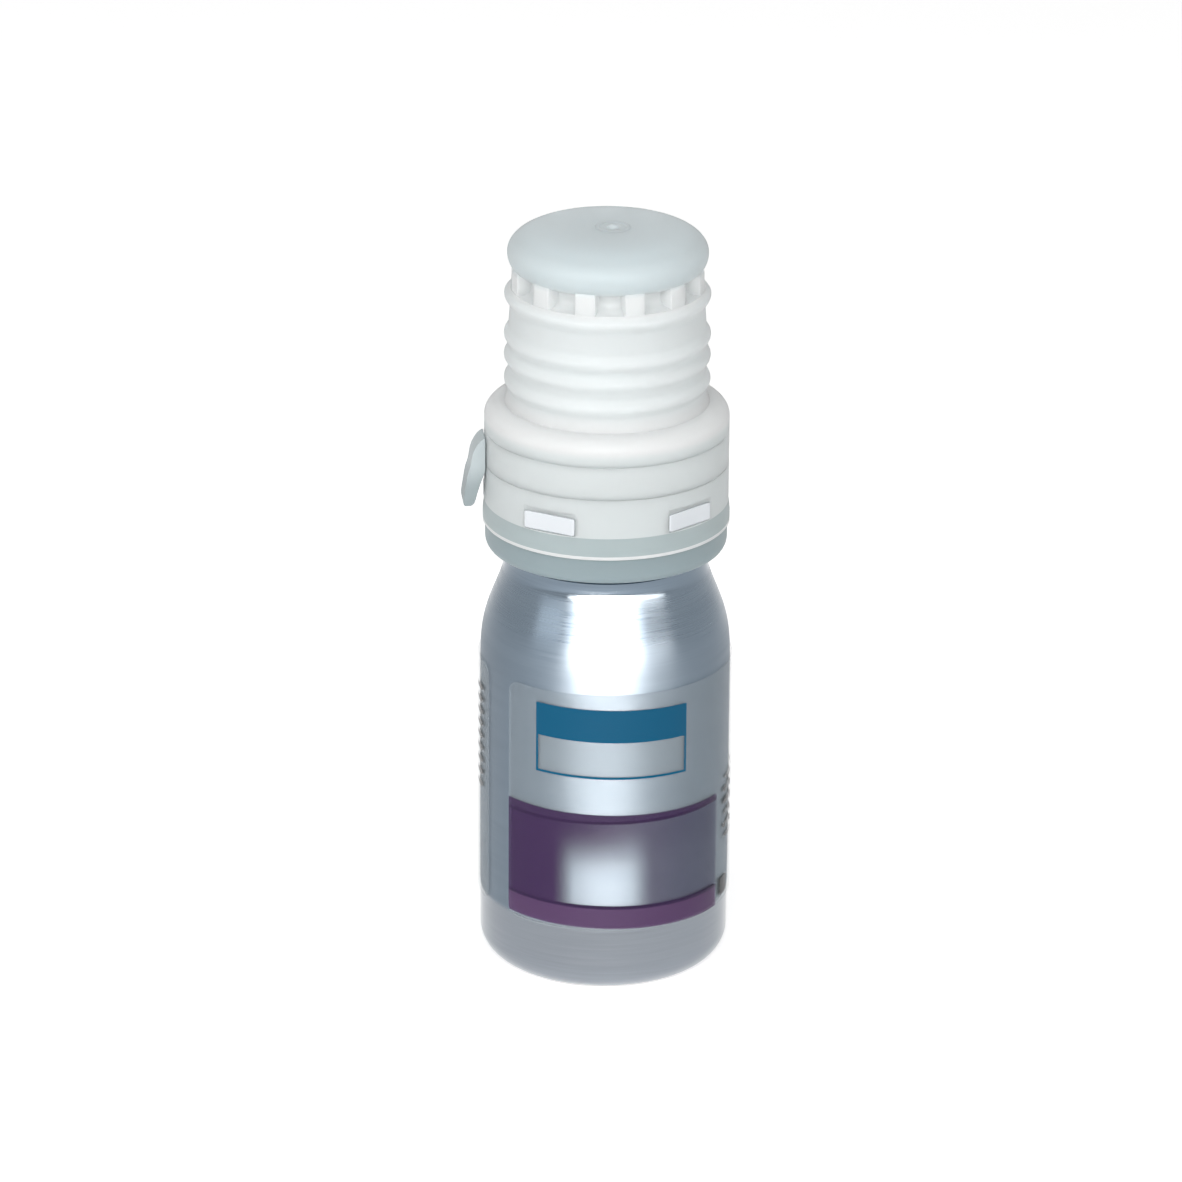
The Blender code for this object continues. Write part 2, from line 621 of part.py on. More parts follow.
def make_actuator(parts):
    """Finger flange, guide skirt, hooked sleeve, stem boss and nozzle in one moulding."""
    ceiling = finger_bottom
    hook_top = deck_bottom - SEAT_GAP
    skirt_bottom = deck_top + STROKE + STOP_GAP
    socket = STEM_RADIUS + SLIDE_GAP
    tip_socket = tip_spigot_radius + SLIDE_GAP
    profile = [(tip_socket, nozzle_top), (NOZZLE_TOP_RADIUS, nozzle_top)]
    profile += arc(CONE_FOOT_RADIUS, nozzle_base, CONE_FOOT_RADIUS - NOZZLE_BASE_RADIUS, CONE_HEIGHT,
                   180, 270, 5)
    profile += [(finger_radius - FLANGE_EDGE, finger_top), (finger_radius, finger_top - FLANGE_EDGE),
                (finger_radius, finger_bottom + FLANGE_EDGE), (finger_radius - FLANGE_EDGE, finger_bottom)]
    profile += [(skirt_radius, ceiling), (skirt_radius, skirt_bottom),
                (skirt_radius - SKIRT_WALL, skirt_bottom), (skirt_radius - SKIRT_WALL, ceiling),
                (sleeve_radius, ceiling), (sleeve_radius, hook_top),
                (hook_radius, hook_top), (sleeve_radius, sleeve_bottom), (sleeve_inner, sleeve_bottom),
                (sleeve_inner, ceiling), (BOSS_RADIUS, ceiling), (BOSS_RADIUS, boss_bottom)]
    socket_foot = nozzle_top - TIP_SOCKET_DEPTH
    profile += [(socket, boss_bottom), (socket, stem_top + SEAT_GAP), (NOZZLE_CHANNEL, stem_top + SEAT_GAP),
                (NOZZLE_CHANNEL, socket_foot), (tip_socket, socket_foot)]
    return turned("actuator", profile, MIDDLE_STEPS, parts,
                  material("white_plastic_actuator", (0.92, 0.93, 0.94), 0.38), closed=True)


def make_nozzle_tip(parts):
    round_foot = tip_top - TIP_ROUND
    profile = [(TIP_ORIFICE, tip_top)]
    profile += arc(TIP_TOP_RADIUS, round_foot, TIP_SHOULDER_RADIUS - TIP_TOP_RADIUS, TIP_ROUND, 90, 0, 5)
    profile += [(NOZZLE_TOP_RADIUS, tip_bottom), (tip_spigot_radius, tip_bottom),
                (tip_spigot_radius, tip_spigot_bottom), (TIP_CAVITY, tip_spigot_bottom),
                (TIP_CAVITY, tip_seat_bottom), (TIP_ORIFICE, tip_seat_top)]
    return turned("nozzle_tip", profile, SMALL_STEPS, parts,
                  material("tip_plastic", (0.90, 0.93, 0.96), 0.3), closed=True)


def pin_levels():
    """Where the pin's cone starts and ends, so that it lies one gap inside the seat's cone."""
    slope = (TIP_CAVITY - TIP_ORIFICE) / TIP_SEAT_HEIGHT
    shift = PIN_SEAT_GAP * math.sqrt(1 + slope * slope)
    top = tip_seat_top - (PIN_NIPPLE_RADIUS + shift - TIP_ORIFICE) / slope
    head = tip_seat_top - (PIN_HEAD_RADIUS + shift - TIP_ORIFICE) / slope
    return top, head, head - PIN_HEAD_HEIGHT


def make_tip_valve_pin(parts):
    cone_top, cone_bottom, head_bottom = pin_levels()
    tail = tip_stop_bottom - PIN_TAIL
    nipple = (cone_top + tip_top) / 2
    profile = [(0.0, nipple), (PIN_NIPPLE_RADIUS, nipple), (PIN_NIPPLE_RADIUS, cone_top),
               (PIN_HEAD_RADIUS, cone_bottom), (PIN_HEAD_RADIUS, head_bottom),
               (PIN_STEM_RADIUS, head_bottom), (PIN_STEM_RADIUS, tail), (0.0, tail)]
    return turned("tip_valve_pin", profile, SMALL_STEPS, parts,
                  material("pin_plastic", (0.85, 0.87, 0.90), 0.35))


def make_tip_spring_stop(parts):
    outer = TIP_CAVITY - SLIDE_GAP
    inner = PIN_STEM_RADIUS + SLIDE_GAP
    top = tip_stop_bottom + TIP_STOP_THICKNESS
    return turned("tip_spring_stop", [(outer, top), (outer, tip_stop_bottom), (inner, tip_stop_bottom),
                                      (inner, top)], SMALL_STEPS, parts,
                  material("white_plastic_stop", (0.86, 0.87, 0.88), 0.4), closed=True)


def make_spring(name, mean_radius, wire, bottom, top, turns, parts, finish):
    """A compression spring, one unbroken helix between its two seats."""
    curve = bpy.data.curves.new(name, "CURVE")
    curve.dimensions = "3D"
    curve.bevel_depth = wire
    curve.bevel_resolution = 1
    curve.use_fill_caps = True
    count = turns * SPRING_POINTS + 1
    low = bottom + wire
    rise = top - bottom - 2 * wire
    path = []
    for i in range(count):
        angle = 2 * math.pi * i / SPRING_POINTS
        path.append(front(angle, mean_radius, low + rise * i / (count - 1)))
    line = curve.splines.new("POLY")
    line.points.add(count - 1)
    for point, spot in zip(line.points, path):
        point.co = (*spot, 1.0)
    gaps = [(a - b).length - 2 * wire for i, a in enumerate(path) for b in path[i + SPRING_POINTS - 2:]]
    print(f"{name}: least gap between turns {min(gaps) * 1000:.2f} mm")
    return place(bpy.data.objects.new(name, curve), parts, finish)


def make_springs(parts):
    mean = (max(BOSS_RADIUS, cylinder_radius) + sleeve_inner) / 2
    main = make_spring("return_spring", mean, SPRING_WIRE, floor_top + SEAT_GAP, finger_bottom - SEAT_GAP,
                       SPRING_TURNS, parts,
                       material("spring_steel", (0.60, 0.60, 0.62), 0.25, metallic=1.0))
    head_bottom = pin_levels()[2]
    small_mean = (PIN_STEM_RADIUS + TIP_CAVITY) / 2
    small = make_spring("tip_spring", small_mean, TIP_SPRING_WIRE,
                        tip_stop_bottom + TIP_STOP_THICKNESS + SLIDE_GAP, head_bottom - SLIDE_GAP,
                        TIP_SPRING_TURNS, parts,
                        material("tip_spring_steel", (0.60, 0.60, 0.62), 0.25, metallic=1.0))
    return main, small


def make_tear_band(parts, cutters):
    inner = ring_radius - BAND_WALL
    band = turned("tear_band", [(ring_radius, band_top), (ring_radius, band_bottom), (inner, band_bottom),
                                (inner, band_top)], LARGE_STEPS, parts,
                  material("natural_plastic_band", (0.84, 0.88, 0.88), 0.35, alpha=0.8), closed=True)
    reach = BAND_GAP - BRIDGE_GAP
    inset = BAND_WALL / 4
    for side, low, high in (("lower", band_bottom - reach, band_bottom + BRIDGE_DEPTH),
                            ("upper", band_top - BRIDGE_DEPTH, band_top + reach)):
        bridges = blocks(side + "_bridges", inner + inset, ring_radius - inset, low, high, BRIDGE_WIDTH,
                         even_angles(BRIDGE_COUNT, math.pi / BRIDGE_COUNT), cutters)
        boolean(band, bridges, "UNION")
    return band


def make_pull_tab(parts):
    """A strap that leaves the band, bends over and hangs beside the ring."""
    hinge_radius = ring_radius + TAB_GAP
    hinge = bpy.data.objects.new("pull_tab_hinge", None)
    hinge.empty_display_size = TAB_WIDTH
    hinge.location = front(TAB_ANGLE, hinge_radius, band_top - TAB_TOP_DROP)
    hinge.rotation_euler = (math.pi / 2, 0.0, TAB_ANGLE - math.pi / 2)
    place(hinge, parts)
    outline = [(0.0, 0.0)] + list(tab_outer_shares) + list(tab_tip_shares) + list(tab_inner_shares)
    curve = bpy.data.curves.new("pull_tab", "CURVE")
    curve.dimensions = "2D"
    curve.fill_mode = "BOTH"
    curve.extrude = TAB_WIDTH / 2
    line = curve.splines.new("POLY")
    line.points.add(len(outline) - 1)
    line.use_cyclic_u = True
    for point, (out, down) in zip(line.points, outline):
        point.co = (out * TAB_REACH, -down * TAB_LENGTH, 0.0, 1.0)
    tab = bpy.data.objects.new("pull_tab", curve)
    tab.parent = hinge
    return place(tab, parts, material("natural_plastic_tab", (0.84, 0.88, 0.88), 0.35, alpha=0.8))


def bead(centre, crest, valley, lower, upper, segments):
    """A rounded grip ring from its upper valley down to its lower one."""
    points = []
    for i in range(segments + 1):
        share = 1 - 2 * i / segments
        height = share * (upper if share > 0 else lower)
        points.append((valley + (crest - valley) * math.cos(math.pi / 2 * share), centre + height))
    return points


def make_cap(parts, cutters):
    """The grip cap: domed disc on radial ribs, grip rings, rounded shoulder and skirt."""
    edge_centre = disc_radius - DISC_EDGE_ROUND
    sphere = (edge_centre ** 2 + DISC_CROWN ** 2) / (2 * DISC_CROWN)
    sphere_centre = cap_top - sphere
    spread = math.degrees(math.asin(edge_centre / sphere))
    profile = [(0.0, cap_top)] + arc(0.0, sphere_centre, sphere, sphere, 90, 90 - spread, 4)[1:]
    profile += arc(edge_centre, disc_rim, DISC_EDGE_ROUND, DISC_UPPER_EDGE, 90, 0, 3)[1:]
    profile += arc(edge_centre, disc_rim, DISC_EDGE_ROUND, DISC_LOWER_EDGE, 0, -90, 3)[1:]
    profile += [(cap_neck_radius, disc_bottom), (cap_neck_radius, grip_top)]
    ring_centre = grip_top - TOP_RING_UPPER
    profile += bead(ring_centre, grip_radius + TOP_RING_PROUD, grip_radius, TOP_RING_LOWER,
                    TOP_RING_UPPER, 6)
    for share in grip_bead_shares[::-1]:
        profile += bead(grip_bottom + GRIP_HEIGHT * share, grip_crest_radius, grip_valley_radius,
                        GRIP_HALF_BEAD, GRIP_HALF_BEAD, 4)
    dome_foot = cap_bottom + CAP_SKIRT_HEIGHT
    profile += arc(ring_radius - CAP_DOME_WIDTH, dome_foot, CAP_DOME_WIDTH, CAP_DOME_HEIGHT, 90, 0, 5)
    profile += [(ring_radius, cap_bottom), (cap_inner, cap_bottom)]
    bore = grip_radius - CAP_WALL
    inner_foot = finger_top + SEAT_GAP
    inner_top = grip_bottom - CAP_WALL
    tube_top = disc_bottom + LINER_DISC
    ceiling = cap_top - CAP_WALL - DISC_EDGE_ROUND / 2
    profile += arc(bore, inner_foot, cap_inner - bore, inner_top - inner_foot, 0, 90, 3)
    profile += [(bore, grip_top - CAP_WALL), (tube_inner, grip_top - CAP_WALL), (tube_inner, tube_top),
                (tube_inner - CAP_WALL, tube_top + CAP_WALL), (0.0, ceiling)]
    cap = turned("cap", profile, LARGE_STEPS, parts,
                 material("natural_plastic_cap", (0.88, 0.93, 0.92), 0.32, alpha=0.85))
    ribs = blocks("disc_ribs", cap_neck_radius - CAP_WALL / 2, disc_radius - RIB_INSET,
                  grip_top - CAP_WALL / 2, disc_bottom + CAP_WALL / 2, RIB_WIDTH,
                  even_angles(RIB_COUNT, RIB_FIRST_ANGLE), cutters)
    boolean(cap, ribs, "UNION")
    bpy.ops.mesh.primitive_torus_add(major_segments=SMALL_STEPS, minor_segments=8,
                                     major_radius=GATE_RADIUS, minor_radius=GATE_RIM,
                                     location=(GATE_OFFSET, 0.0, cap_top - GATE_SINK))
    rim = place(bpy.context.object, cutters)
    rim.name = "gate_rim"
    boolean(cap, rim, "UNION")
    dimple_bottom = cap_top - GATE_DIMPLE_DEPTH
    dimple_profile = [(0.0, cap_top + CUT_OVERRUN), (GATE_DIMPLE_RADIUS, cap_top + CUT_OVERRUN),
                      (GATE_DIMPLE_RADIUS / 2, dimple_bottom), (0.0, dimple_bottom)]
    dimple = turned("gate_dimple_cutter", dimple_profile, SMALL_STEPS, cutters)
    dimple.location = (GATE_OFFSET, 0.0, 0.0)
    boolean(cap, dimple, "DIFFERENCE")
    return cap


def make_cap_liner(parts):
    """A soft plug in the cap's head, whose cup closes over the nozzle tip."""
    top = disc_bottom + LINER_DISC - SEAT_GAP
    disc_low = top - LINER_DISC
    outer = tube_inner - SEAT_GAP
    cup = NOZZLE_TOP_RADIUS
    cup_top = tip_top + SEAT_GAP
    cup_bottom = cup_top - LINER_CUP_DEPTH
    profile = [(0.0, top), (outer, top), (outer, disc_low), (cup + LINER_BOSS_WALL, disc_low),
               (cup + LINER_BOSS_WALL, cup_bottom), (cup, cup_bottom), (cup, cup_top), (0.0, cup_top)]
    return turned("cap_liner", profile, MIDDLE_STEPS, parts,
                  material("soft_liner", (0.88, 0.90, 0.90), 0.55))


def build():
    for obj in list(bpy.data.objects):
        bpy.data.objects.remove(obj, do_unlink=True)
    parts = bpy.data.collections.new("eye_drop_bottle")
    cutters = bpy.data.collections.new("cutters")
    for collection in (parts, cutters):
        bpy.context.scene.collection.children.link(collection)

    make_bottle(parts)
    make_label(parts)
    make_neck_gasket(parts)
    make_retaining_ring(parts, cutters)
    make_snap_collar(parts, cutters)
    make_pump_housing(parts, cutters)
    make_vent_filter(parts)
    make_intake_hood(parts, cutters)
    make_ball_cage(parts, cutters)
    make_inlet_ball(parts)
    make_piston_stem(parts)
    make_piston_seal(parts)
    make_actuator(parts)
    make_nozzle_tip(parts)
    make_tip_valve_pin(parts)
    make_tip_spring_stop(parts)
    make_springs(parts)
    make_tear_band(parts, cutters)
    make_pull_tab(parts)
    make_cap(parts, cutters)
    make_cap_liner(parts)

    for obj in cutters.objects:
        helper(obj)
    for obj in parts.objects:
        if obj.type == "MESH":
            smooth(obj)
            obj.data.set_sharp_from_angle(angle=SMOOTH_ANGLE)


build()
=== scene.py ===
import math

import bmesh
import bpy
import numpy as np
from mathutils import Matrix, Vector


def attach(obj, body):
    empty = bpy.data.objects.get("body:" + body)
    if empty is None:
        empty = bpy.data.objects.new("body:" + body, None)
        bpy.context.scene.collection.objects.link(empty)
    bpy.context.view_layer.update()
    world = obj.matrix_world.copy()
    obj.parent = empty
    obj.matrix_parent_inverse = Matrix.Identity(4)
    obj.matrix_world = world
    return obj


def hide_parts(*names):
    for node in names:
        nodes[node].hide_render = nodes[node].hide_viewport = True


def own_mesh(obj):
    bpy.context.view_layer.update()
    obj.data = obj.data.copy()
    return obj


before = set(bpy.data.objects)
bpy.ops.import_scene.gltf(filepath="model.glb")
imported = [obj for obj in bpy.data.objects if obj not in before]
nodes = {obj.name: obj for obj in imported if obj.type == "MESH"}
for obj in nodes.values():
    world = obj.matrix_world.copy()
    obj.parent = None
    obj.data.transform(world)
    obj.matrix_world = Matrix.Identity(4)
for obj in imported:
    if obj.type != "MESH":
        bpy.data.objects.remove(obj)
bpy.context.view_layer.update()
mm = 0.001
print("frame loaded:", len(nodes), "nodes")


# Shader maths: a value wraps a socket, and sums and products of values add their Math nodes.
class Value:
    def __init__(self, graph, socket):
        self.graph = graph
        self.socket = socket

    def maths(self, operation, first, second=0.0):
        return self.graph.add("ShaderNodeMath", {"operation": operation}, {0: first, 1: second})

    def __add__(self, other):
        return self.maths("ADD", self, other)

    def __sub__(self, other):
        return self.maths("SUBTRACT", self, other)

    def __rsub__(self, other):
        return self.maths("SUBTRACT", other, self)

    def __mul__(self, other):
        return self.maths("MULTIPLY", self, other)

    def __truediv__(self, other):
        return self.maths("DIVIDE", self, other)

    def __gt__(self, other):
        return self.maths("GREATER_THAN", self, other)

    def __lt__(self, other):
        return self.maths("LESS_THAN", self, other)

    __radd__ = __add__
    __rmul__ = __mul__

    def between(self, low, high):  # 1 from low to high, 0 outside
        return (self > low) * (self < high)


class Graph:
    def __init__(self, tree):
        self.tree = tree

    def add(self, kind, settings, inputs, output=0):  # settings come first, then the sockets' values or links
        node = self.tree.nodes.new(kind)
        for key, setting in settings.items():
            setattr(node, key, setting)
        for key, given in inputs.items():
            self.feed(node.inputs[key], given)
        return Value(self, node.outputs[output])

    def feed(self, socket, given):
        if isinstance(given, Value):
            self.tree.links.new(given.socket, socket)
        else:
            socket.default_value = given


# The shader's sockets, by the names that are used for them here
shaderSockets = dict(colour="Base Color", roughness="Roughness", metallic="Metallic", alpha="Alpha",
                     normal="Normal", transmission="Transmission Weight", ior="IOR", anisotropy="Anisotropic",
                     anisotropyTurn="Anisotropic Rotation", gloss="Specular IOR Level",
                     scatter="Subsurface Weight", scatterRadius="Subsurface Radius",
                     scatterScale="Subsurface Scale", shine="Emission Color",
                     shineStrength="Emission Strength")


class Finish(Graph):
    def __init__(self, name):
        self.material = bpy.data.materials.new(name)
        self.material.use_nodes = True
        super().__init__(self.material.node_tree)
        self.shader = self.tree.nodes["Principled BSDF"]
        self.place = self.add("ShaderNodeTexCoord", {}, {}, "Object")

    def mix(self, factor, first, second):  # colours go through Mix, numbers through Math
        first, second = ((*side, 1.0) if isinstance(side, tuple) else side for side in (first, second))
        return self.add("ShaderNodeMix", {"data_type": "RGBA"}, {0: factor, 6: first, 7: second}, 2)

    def noise(self, scale, detail=2.0, roughness=0.5):  # scale is repeats a metre, along X, Y and Z
        where = self.add("ShaderNodeMapping", {}, {"Vector": self.place, "Scale": scale})
        return self.add("ShaderNodeTexNoise", {}, {"Vector": where, "Scale": 1.0, "Detail": detail,
                                                   "Roughness": roughness}, "Fac")

    def axes(self):
        split = self.add("ShaderNodeSeparateXYZ", {}, {"Vector": self.place}).socket.node
        return [Value(self, socket) for socket in split.outputs]

    def eased(self, value, low, high):  # 0 at low, 1 at high, smooth between
        return self.add("ShaderNodeMapRange", {"interpolation_type": "SMOOTHSTEP"},
                        {"Value": value, "From Min": low, "From Max": high}, "Result")

    def bump(self, height, strength, distance):
        return self.add("ShaderNodeBump", {}, {"Height": height, "Strength": strength, "Distance": distance},
                        "Normal")

    def principled(self, **inputs):
        for key, given in inputs.items():
            self.feed(self.shader.inputs[shaderSockets[key]], given)
        return self.material


# Profiles and surfaces, in millimetres until a mesh is made. Edges are sharp from an angle in degrees.
meshing = dict(tiny=1e-9, shortest=1e-4, mostFillet=0.49, merge=0.0005, sliver=0.0002, sharp=35)


def arcPoints(centreR, centreZ, across, along, start, end, count=9):
    # part of an ellipse: the centre plus (across cos a, along sin a), a running evenly from start to end
    a = np.radians(np.linspace(start, end, count))
    return np.column_stack([centreR + across * np.cos(a), centreZ + along * np.sin(a)])


def outline(parts, fillet=0.12, count=5):
    # single corners are softened: B becomes (1-t)^2 A + 2t(1-t) B + t^2 C, with A and C one fillet away from
    # it, or just under half a side where the side is short
    rows = [np.atleast_2d(np.asarray(part, float)) for part in parts]
    corner = np.vstack(rows)
    reach = np.concatenate([np.full(len(row), fillet if len(row) == 1 else 0.0) for row in rows])
    reach[corner[:, 0] < meshing["tiny"]] = 0.0
    t = np.linspace(0, 1, count)[None, :, None]

    def towards(side):
        length = np.linalg.norm(side, axis=1)
        share = np.minimum(reach, meshing["mostFillet"] * length) / np.maximum(length, meshing["tiny"])
        return (corner + side * share[:, None])[:, None]

    first = towards(np.roll(corner, 1, axis=0) - corner)
    last = towards(np.roll(corner, -1, axis=0) - corner)
    curve = ((1 - t) ** 2 * first + 2 * t * (1 - t) * corner[:, None] + t ** 2 * last).reshape(-1, 2)
    step = np.linalg.norm(np.diff(curve, axis=0), axis=1)
    return curve[np.concatenate([[True], step > meshing["shortest"]])]


def newPiece(name, points, faces):
    mesh = bpy.data.meshes.new(name)
    mesh.from_pydata((points * mm).tolist(), [], faces)
    piece = bpy.data.objects.new(name, mesh)
    bpy.context.scene.collection.objects.link(piece)
    return piece


def gridPiece(name, grid, wrapU=True, wrapV=True):
    # grids of points (copies, u, v, xyz) become quads, each between a point and its next ones along u and v
    grid = grid[None] if grid.ndim == 3 else grid
    copies, rows, columns = grid.shape[:3]
    i = np.arange(rows if wrapU else rows - 1)[:, None]
    j = np.arange(columns if wrapV else columns - 1)[None, :]
    iNext, jNext = (i + 1) % rows, (j + 1) % columns
    quads = np.stack([i * columns + j, iNext * columns + j, iNext * columns + jNext, i * columns + jNext],
                     axis=-1).reshape(1, -1, 4)
    quads = (quads + (np.arange(copies) * rows * columns)[:, None, None]).reshape(-1, 4)
    return tidy(newPiece(name, grid.reshape(-1, 3), quads.tolist()))


def tidy(piece):  # merges points, turns the faces outwards and marks the sharp edges
    shape = bmesh.new()
    shape.from_mesh(piece.data)
    bmesh.ops.remove_doubles(shape, verts=shape.verts, dist=meshing["merge"] * mm)
    bmesh.ops.dissolve_degenerate(shape, edges=shape.edges, dist=meshing["sliver"] * mm)
    bmesh.ops.recalc_face_normals(shape, faces=shape.faces)
    shape.to_mesh(piece.data)
    shape.free()
    count = len(piece.data.polygons)
    piece.data.polygons.foreach_set("use_smooth", np.ones(count, bool))
    piece.data.polygons.foreach_set("material_index", np.zeros(count, np.int32))
    piece.data.set_sharp_from_angle(angle=math.radians(meshing["sharp"]))
    return piece


def closeEnds(piece):  # one flat face over each open end
    shape = bmesh.new()
    shape.from_mesh(piece.data)
    bmesh.ops.holes_fill(shape, edges=shape.edges)
    shape.to_mesh(piece.data)
    shape.free()
    return tidy(piece)


def turned(name, profile, steps=144, offset=(0.0, 0.0)):
    # a profile (r, z) carried round Z: x = r sin a, y = -r cos a, with a over a full turn
    r, z = profile.T
    a = np.linspace(0, 2 * np.pi, steps, endpoint=False)[:, None]
    grid = np.stack([offset[0] + r * np.sin(a), offset[1] - r * np.cos(a), z + 0 * a], axis=-1)
    solid = profile[0, 0] < meshing["tiny"] and profile[-1, 0] < meshing["tiny"]
    return gridPiece(name, grid, wrapV=not solid)


def softBlocks(name, inner, outer, bottom, top, width, angles, square=0.08, detail=(48, 24), foot=(0.0, 0.0)):
    # boxes with soft edges: x = a cos u cos v, y = b sin u cos v, z = h sin v, each factor raised to a small
    # power. Towards the bottom a foot adds to the width, and to the reach of the outer side.
    u = np.linspace(-np.pi, np.pi, detail[0], endpoint=False)[:, None]
    v = np.linspace(-np.pi / 2, np.pi / 2, detail[1])[None, :]

    def power(wave):
        return np.sign(wave) * np.abs(wave) ** square

    lean = np.where(np.abs(np.cos(v)) < meshing["tiny"], 0.0, power(np.cos(v)))
    low = (1 - np.sin(v)) / 2
    x = (width + foot[0] * low) / 2 * power(np.cos(u)) * lean
    y = (outer - inner) / 2 * power(np.sin(u)) * lean
    y = -(inner + outer) / 2 + y * (1 + foot[1] * low / (outer - inner)) - foot[1] * low / 2
    z = (bottom + top) / 2 + (top - bottom) / 2 * power(np.sin(v)) + 0 * u
    a = np.asarray(angles)[:, None, None]
    grid = np.stack([x * np.cos(a) - y * np.sin(a), x * np.sin(a) + y * np.cos(a), z + 0 * a], axis=-1)
    return gridPiece(name, grid, wrapV=False)


def carve(piece, tool, operation="DIFFERENCE"):  # cuts the tool out of the piece, or joins it on
    made = piece.modifiers.new("carve", "BOOLEAN")
    made.operation = operation
    made.solver = "EXACT"
    made.object = tool
    mesh = bpy.data.meshes.new_from_object(piece.evaluated_get(bpy.context.evaluated_depsgraph_get()))
    piece.modifiers.clear()
    piece.data = mesh
    bpy.data.objects.remove(tool)
    return tidy(piece)


def evenAngles(count, first):  # degrees in, radians out
    return np.radians(first) + 2 * np.pi * np.arange(count) / count


def finishPiece(piece, body, node, finish):  # its look, and the body and node that it stands for
    piece.data.materials.clear()
    piece.data.materials.append(finish)
    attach(piece, body)
    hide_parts(node)
    print(f"{piece.name}: {len(piece.data.polygons)} faces")
    return piece


# Metals: noises in repeats a metre, the cloudy one's share, the warm tint of the reflection painted into
# smooth zones, and the bump's depth in millimetres
brushing = dict(fine=(120.0, 120.0, 5500.0), broad=(90.0, 90.0, 900.0), cloud=(70.0, 70.0, 70.0),
                cloudShare=0.2, polished=(1.0, 0.80, 0.65), anisotropy=0.7, anisotropyTurn=0.25, bump=0.10,
                depth=0.01)


def brushedMetal(name, dark, light, roughness, spread, streak=0.5, smooth=()):
    # fine rings round the axis: noise squeezed along Z, over a slow cloudy change. A smooth zone is given by
    # the heights where it begins and is full, how much roughness it takes off, and how much painted
    # reflection lightens it.
    b = brushing
    made = Finish(name)
    fine = made.noise(b["fine"], detail=3.0, roughness=0.6)
    broad = made.noise(b["broad"])
    cloud = made.noise(b["cloud"])
    shade = fine * streak + broad * (1 - b["cloudShare"] - streak) + cloud * b["cloudShare"]
    colour, grain = made.mix(shade, dark, light), roughness + spread * (fine - 0.5)
    z = made.axes()[2]
    for begins, full, less, lighter in smooth:
        zone = made.eased(z, begins * mm, full * mm)
        grain = grain - zone * less
        # painted reflection: a zone that lightens mixes the colour towards the warm tint
        colour = made.mix(zone * lighter, colour, b["polished"])
    return made.principled(colour=colour, metallic=1.0, roughness=grain, anisotropy=b["anisotropy"],
                           anisotropyTurn=b["anisotropyTurn"],
                           normal=made.bump(fine, b["bump"], b["depth"] * mm))


# Plastics: what the surface grain and the flow marks add to the roughness, and the bump's depth in
# millimetres
moulding = dict(flow=(120.0, 120.0, 260.0), grainRough=0.08, flowRough=0.05, bump=0.15, depth=0.01)


def moulded(name, colour, roughness, variation=0.03, grain=2500.0, zones=(), **more):
    # slow flow marks in the colour, a faint grain in the surface. A zone is given by the heights where it
    # begins and is full, and the colour there.
    m = moulding
    made = Finish(name)
    flow = made.noise(m["flow"], detail=3.0)
    surface = made.noise((grain, grain, grain))
    darker = tuple(c * (1 - variation) for c in colour)
    lighter = tuple(min(c * (1 + variation), 1.0) for c in colour)
    tone = made.mix(flow, darker, lighter)
    z = made.axes()[2]
    for begins, full, there in zones:
        tone = made.mix(made.eased(z, begins * mm, full * mm), tone, there)
    rough = roughness + m["grainRough"] * (surface - 0.5) + m["flowRough"] * (flow - 0.5)
    return made.principled(colour=tone, roughness=rough,
                           normal=made.bump(surface, m["bump"], m["depth"] * mm), **more)


# the foot's smooth zone is also painted lighter and warmer, as a painted reflection of the floor beside it
aluminium = brushedMetal("satinAluminium", (0.115, 0.15, 0.19), (0.205, 0.25, 0.295), 0.47, 0.30,
                         smooth=((7.7, 6.9, 0.37, 0.08), (33.5, 38.0, 0.19, 0.0), (40.9, 41.8, 0.21, 0.0)))
springSteel = brushedMetal("springSteel", (0.50, 0.50, 0.52), (0.66, 0.66, 0.68), 0.24, 0.08)
ballSteel = brushedMetal("ballSteel", (0.64, 0.64, 0.66), (0.74, 0.74, 0.76), 0.10, 0.04, streak=0.1)

naturalLook = dict(roughness=0.42, variation=0.02, ior=1.49, gloss=0.12)
glow = dict(scatter=0.8, scatterRadius=(1.0, 1.0, 1.0), scatterScale=2.2 * mm)
# zones painted into the cap's colour: lighter on the skirt's rounded shoulder as painted light, darker again
# from the skirt's foot down over the tear band, lighter over the ribs and between them against the shade
# under the disc, darker over the disc as painted shade, and a little less dark at the disc's top
natural = moulded("naturalPolypropylene", (0.87, 0.93, 0.94), transmission=0.35, **glow, **naturalLook,
                  zones=((60.5, 58.5, (0.98, 1.0, 1.0)), (57.6, 56.6, (0.85, 0.92, 0.925)),
                         (70.0, 70.6, (0.92, 0.96, 0.96)), (72.2, 73.2, (0.69, 0.76, 0.78)),
                         (75.5, 76.3, (0.76, 0.84, 0.865))))
# the ring's polypropylene, painted darker than the cap's as shade; its zones paint shade where the dark neck
# shows through its lower band, a highlight line along the step's lower edge, and shade on the lip
shadedRingNatural = moulded("shadedRingPolypropylene", (0.75, 0.81, 0.815), transmission=0.25, **glow, **naturalLook,
                      zones=((48.62, 48.54, (0.485, 0.56, 0.57)), (46.76, 46.70, (0.93, 0.97, 0.97)),
                             (46.40, 46.34, (0.36, 0.44, 0.465))))
# the strap's polypropylene, painted darker than the band's as shade, and lighter towards its top as painted
# light from the left
shadedStrapNatural = moulded("shadedStrapPolypropylene", (0.365, 0.42, 0.435), transmission=0.25, **naturalLook,
                       zones=((50.0, 53.0, (0.56, 0.62, 0.635)),))
white = moulded("whitePolypropylene", (0.70, 0.735, 0.74), 0.36, gloss=0.15)
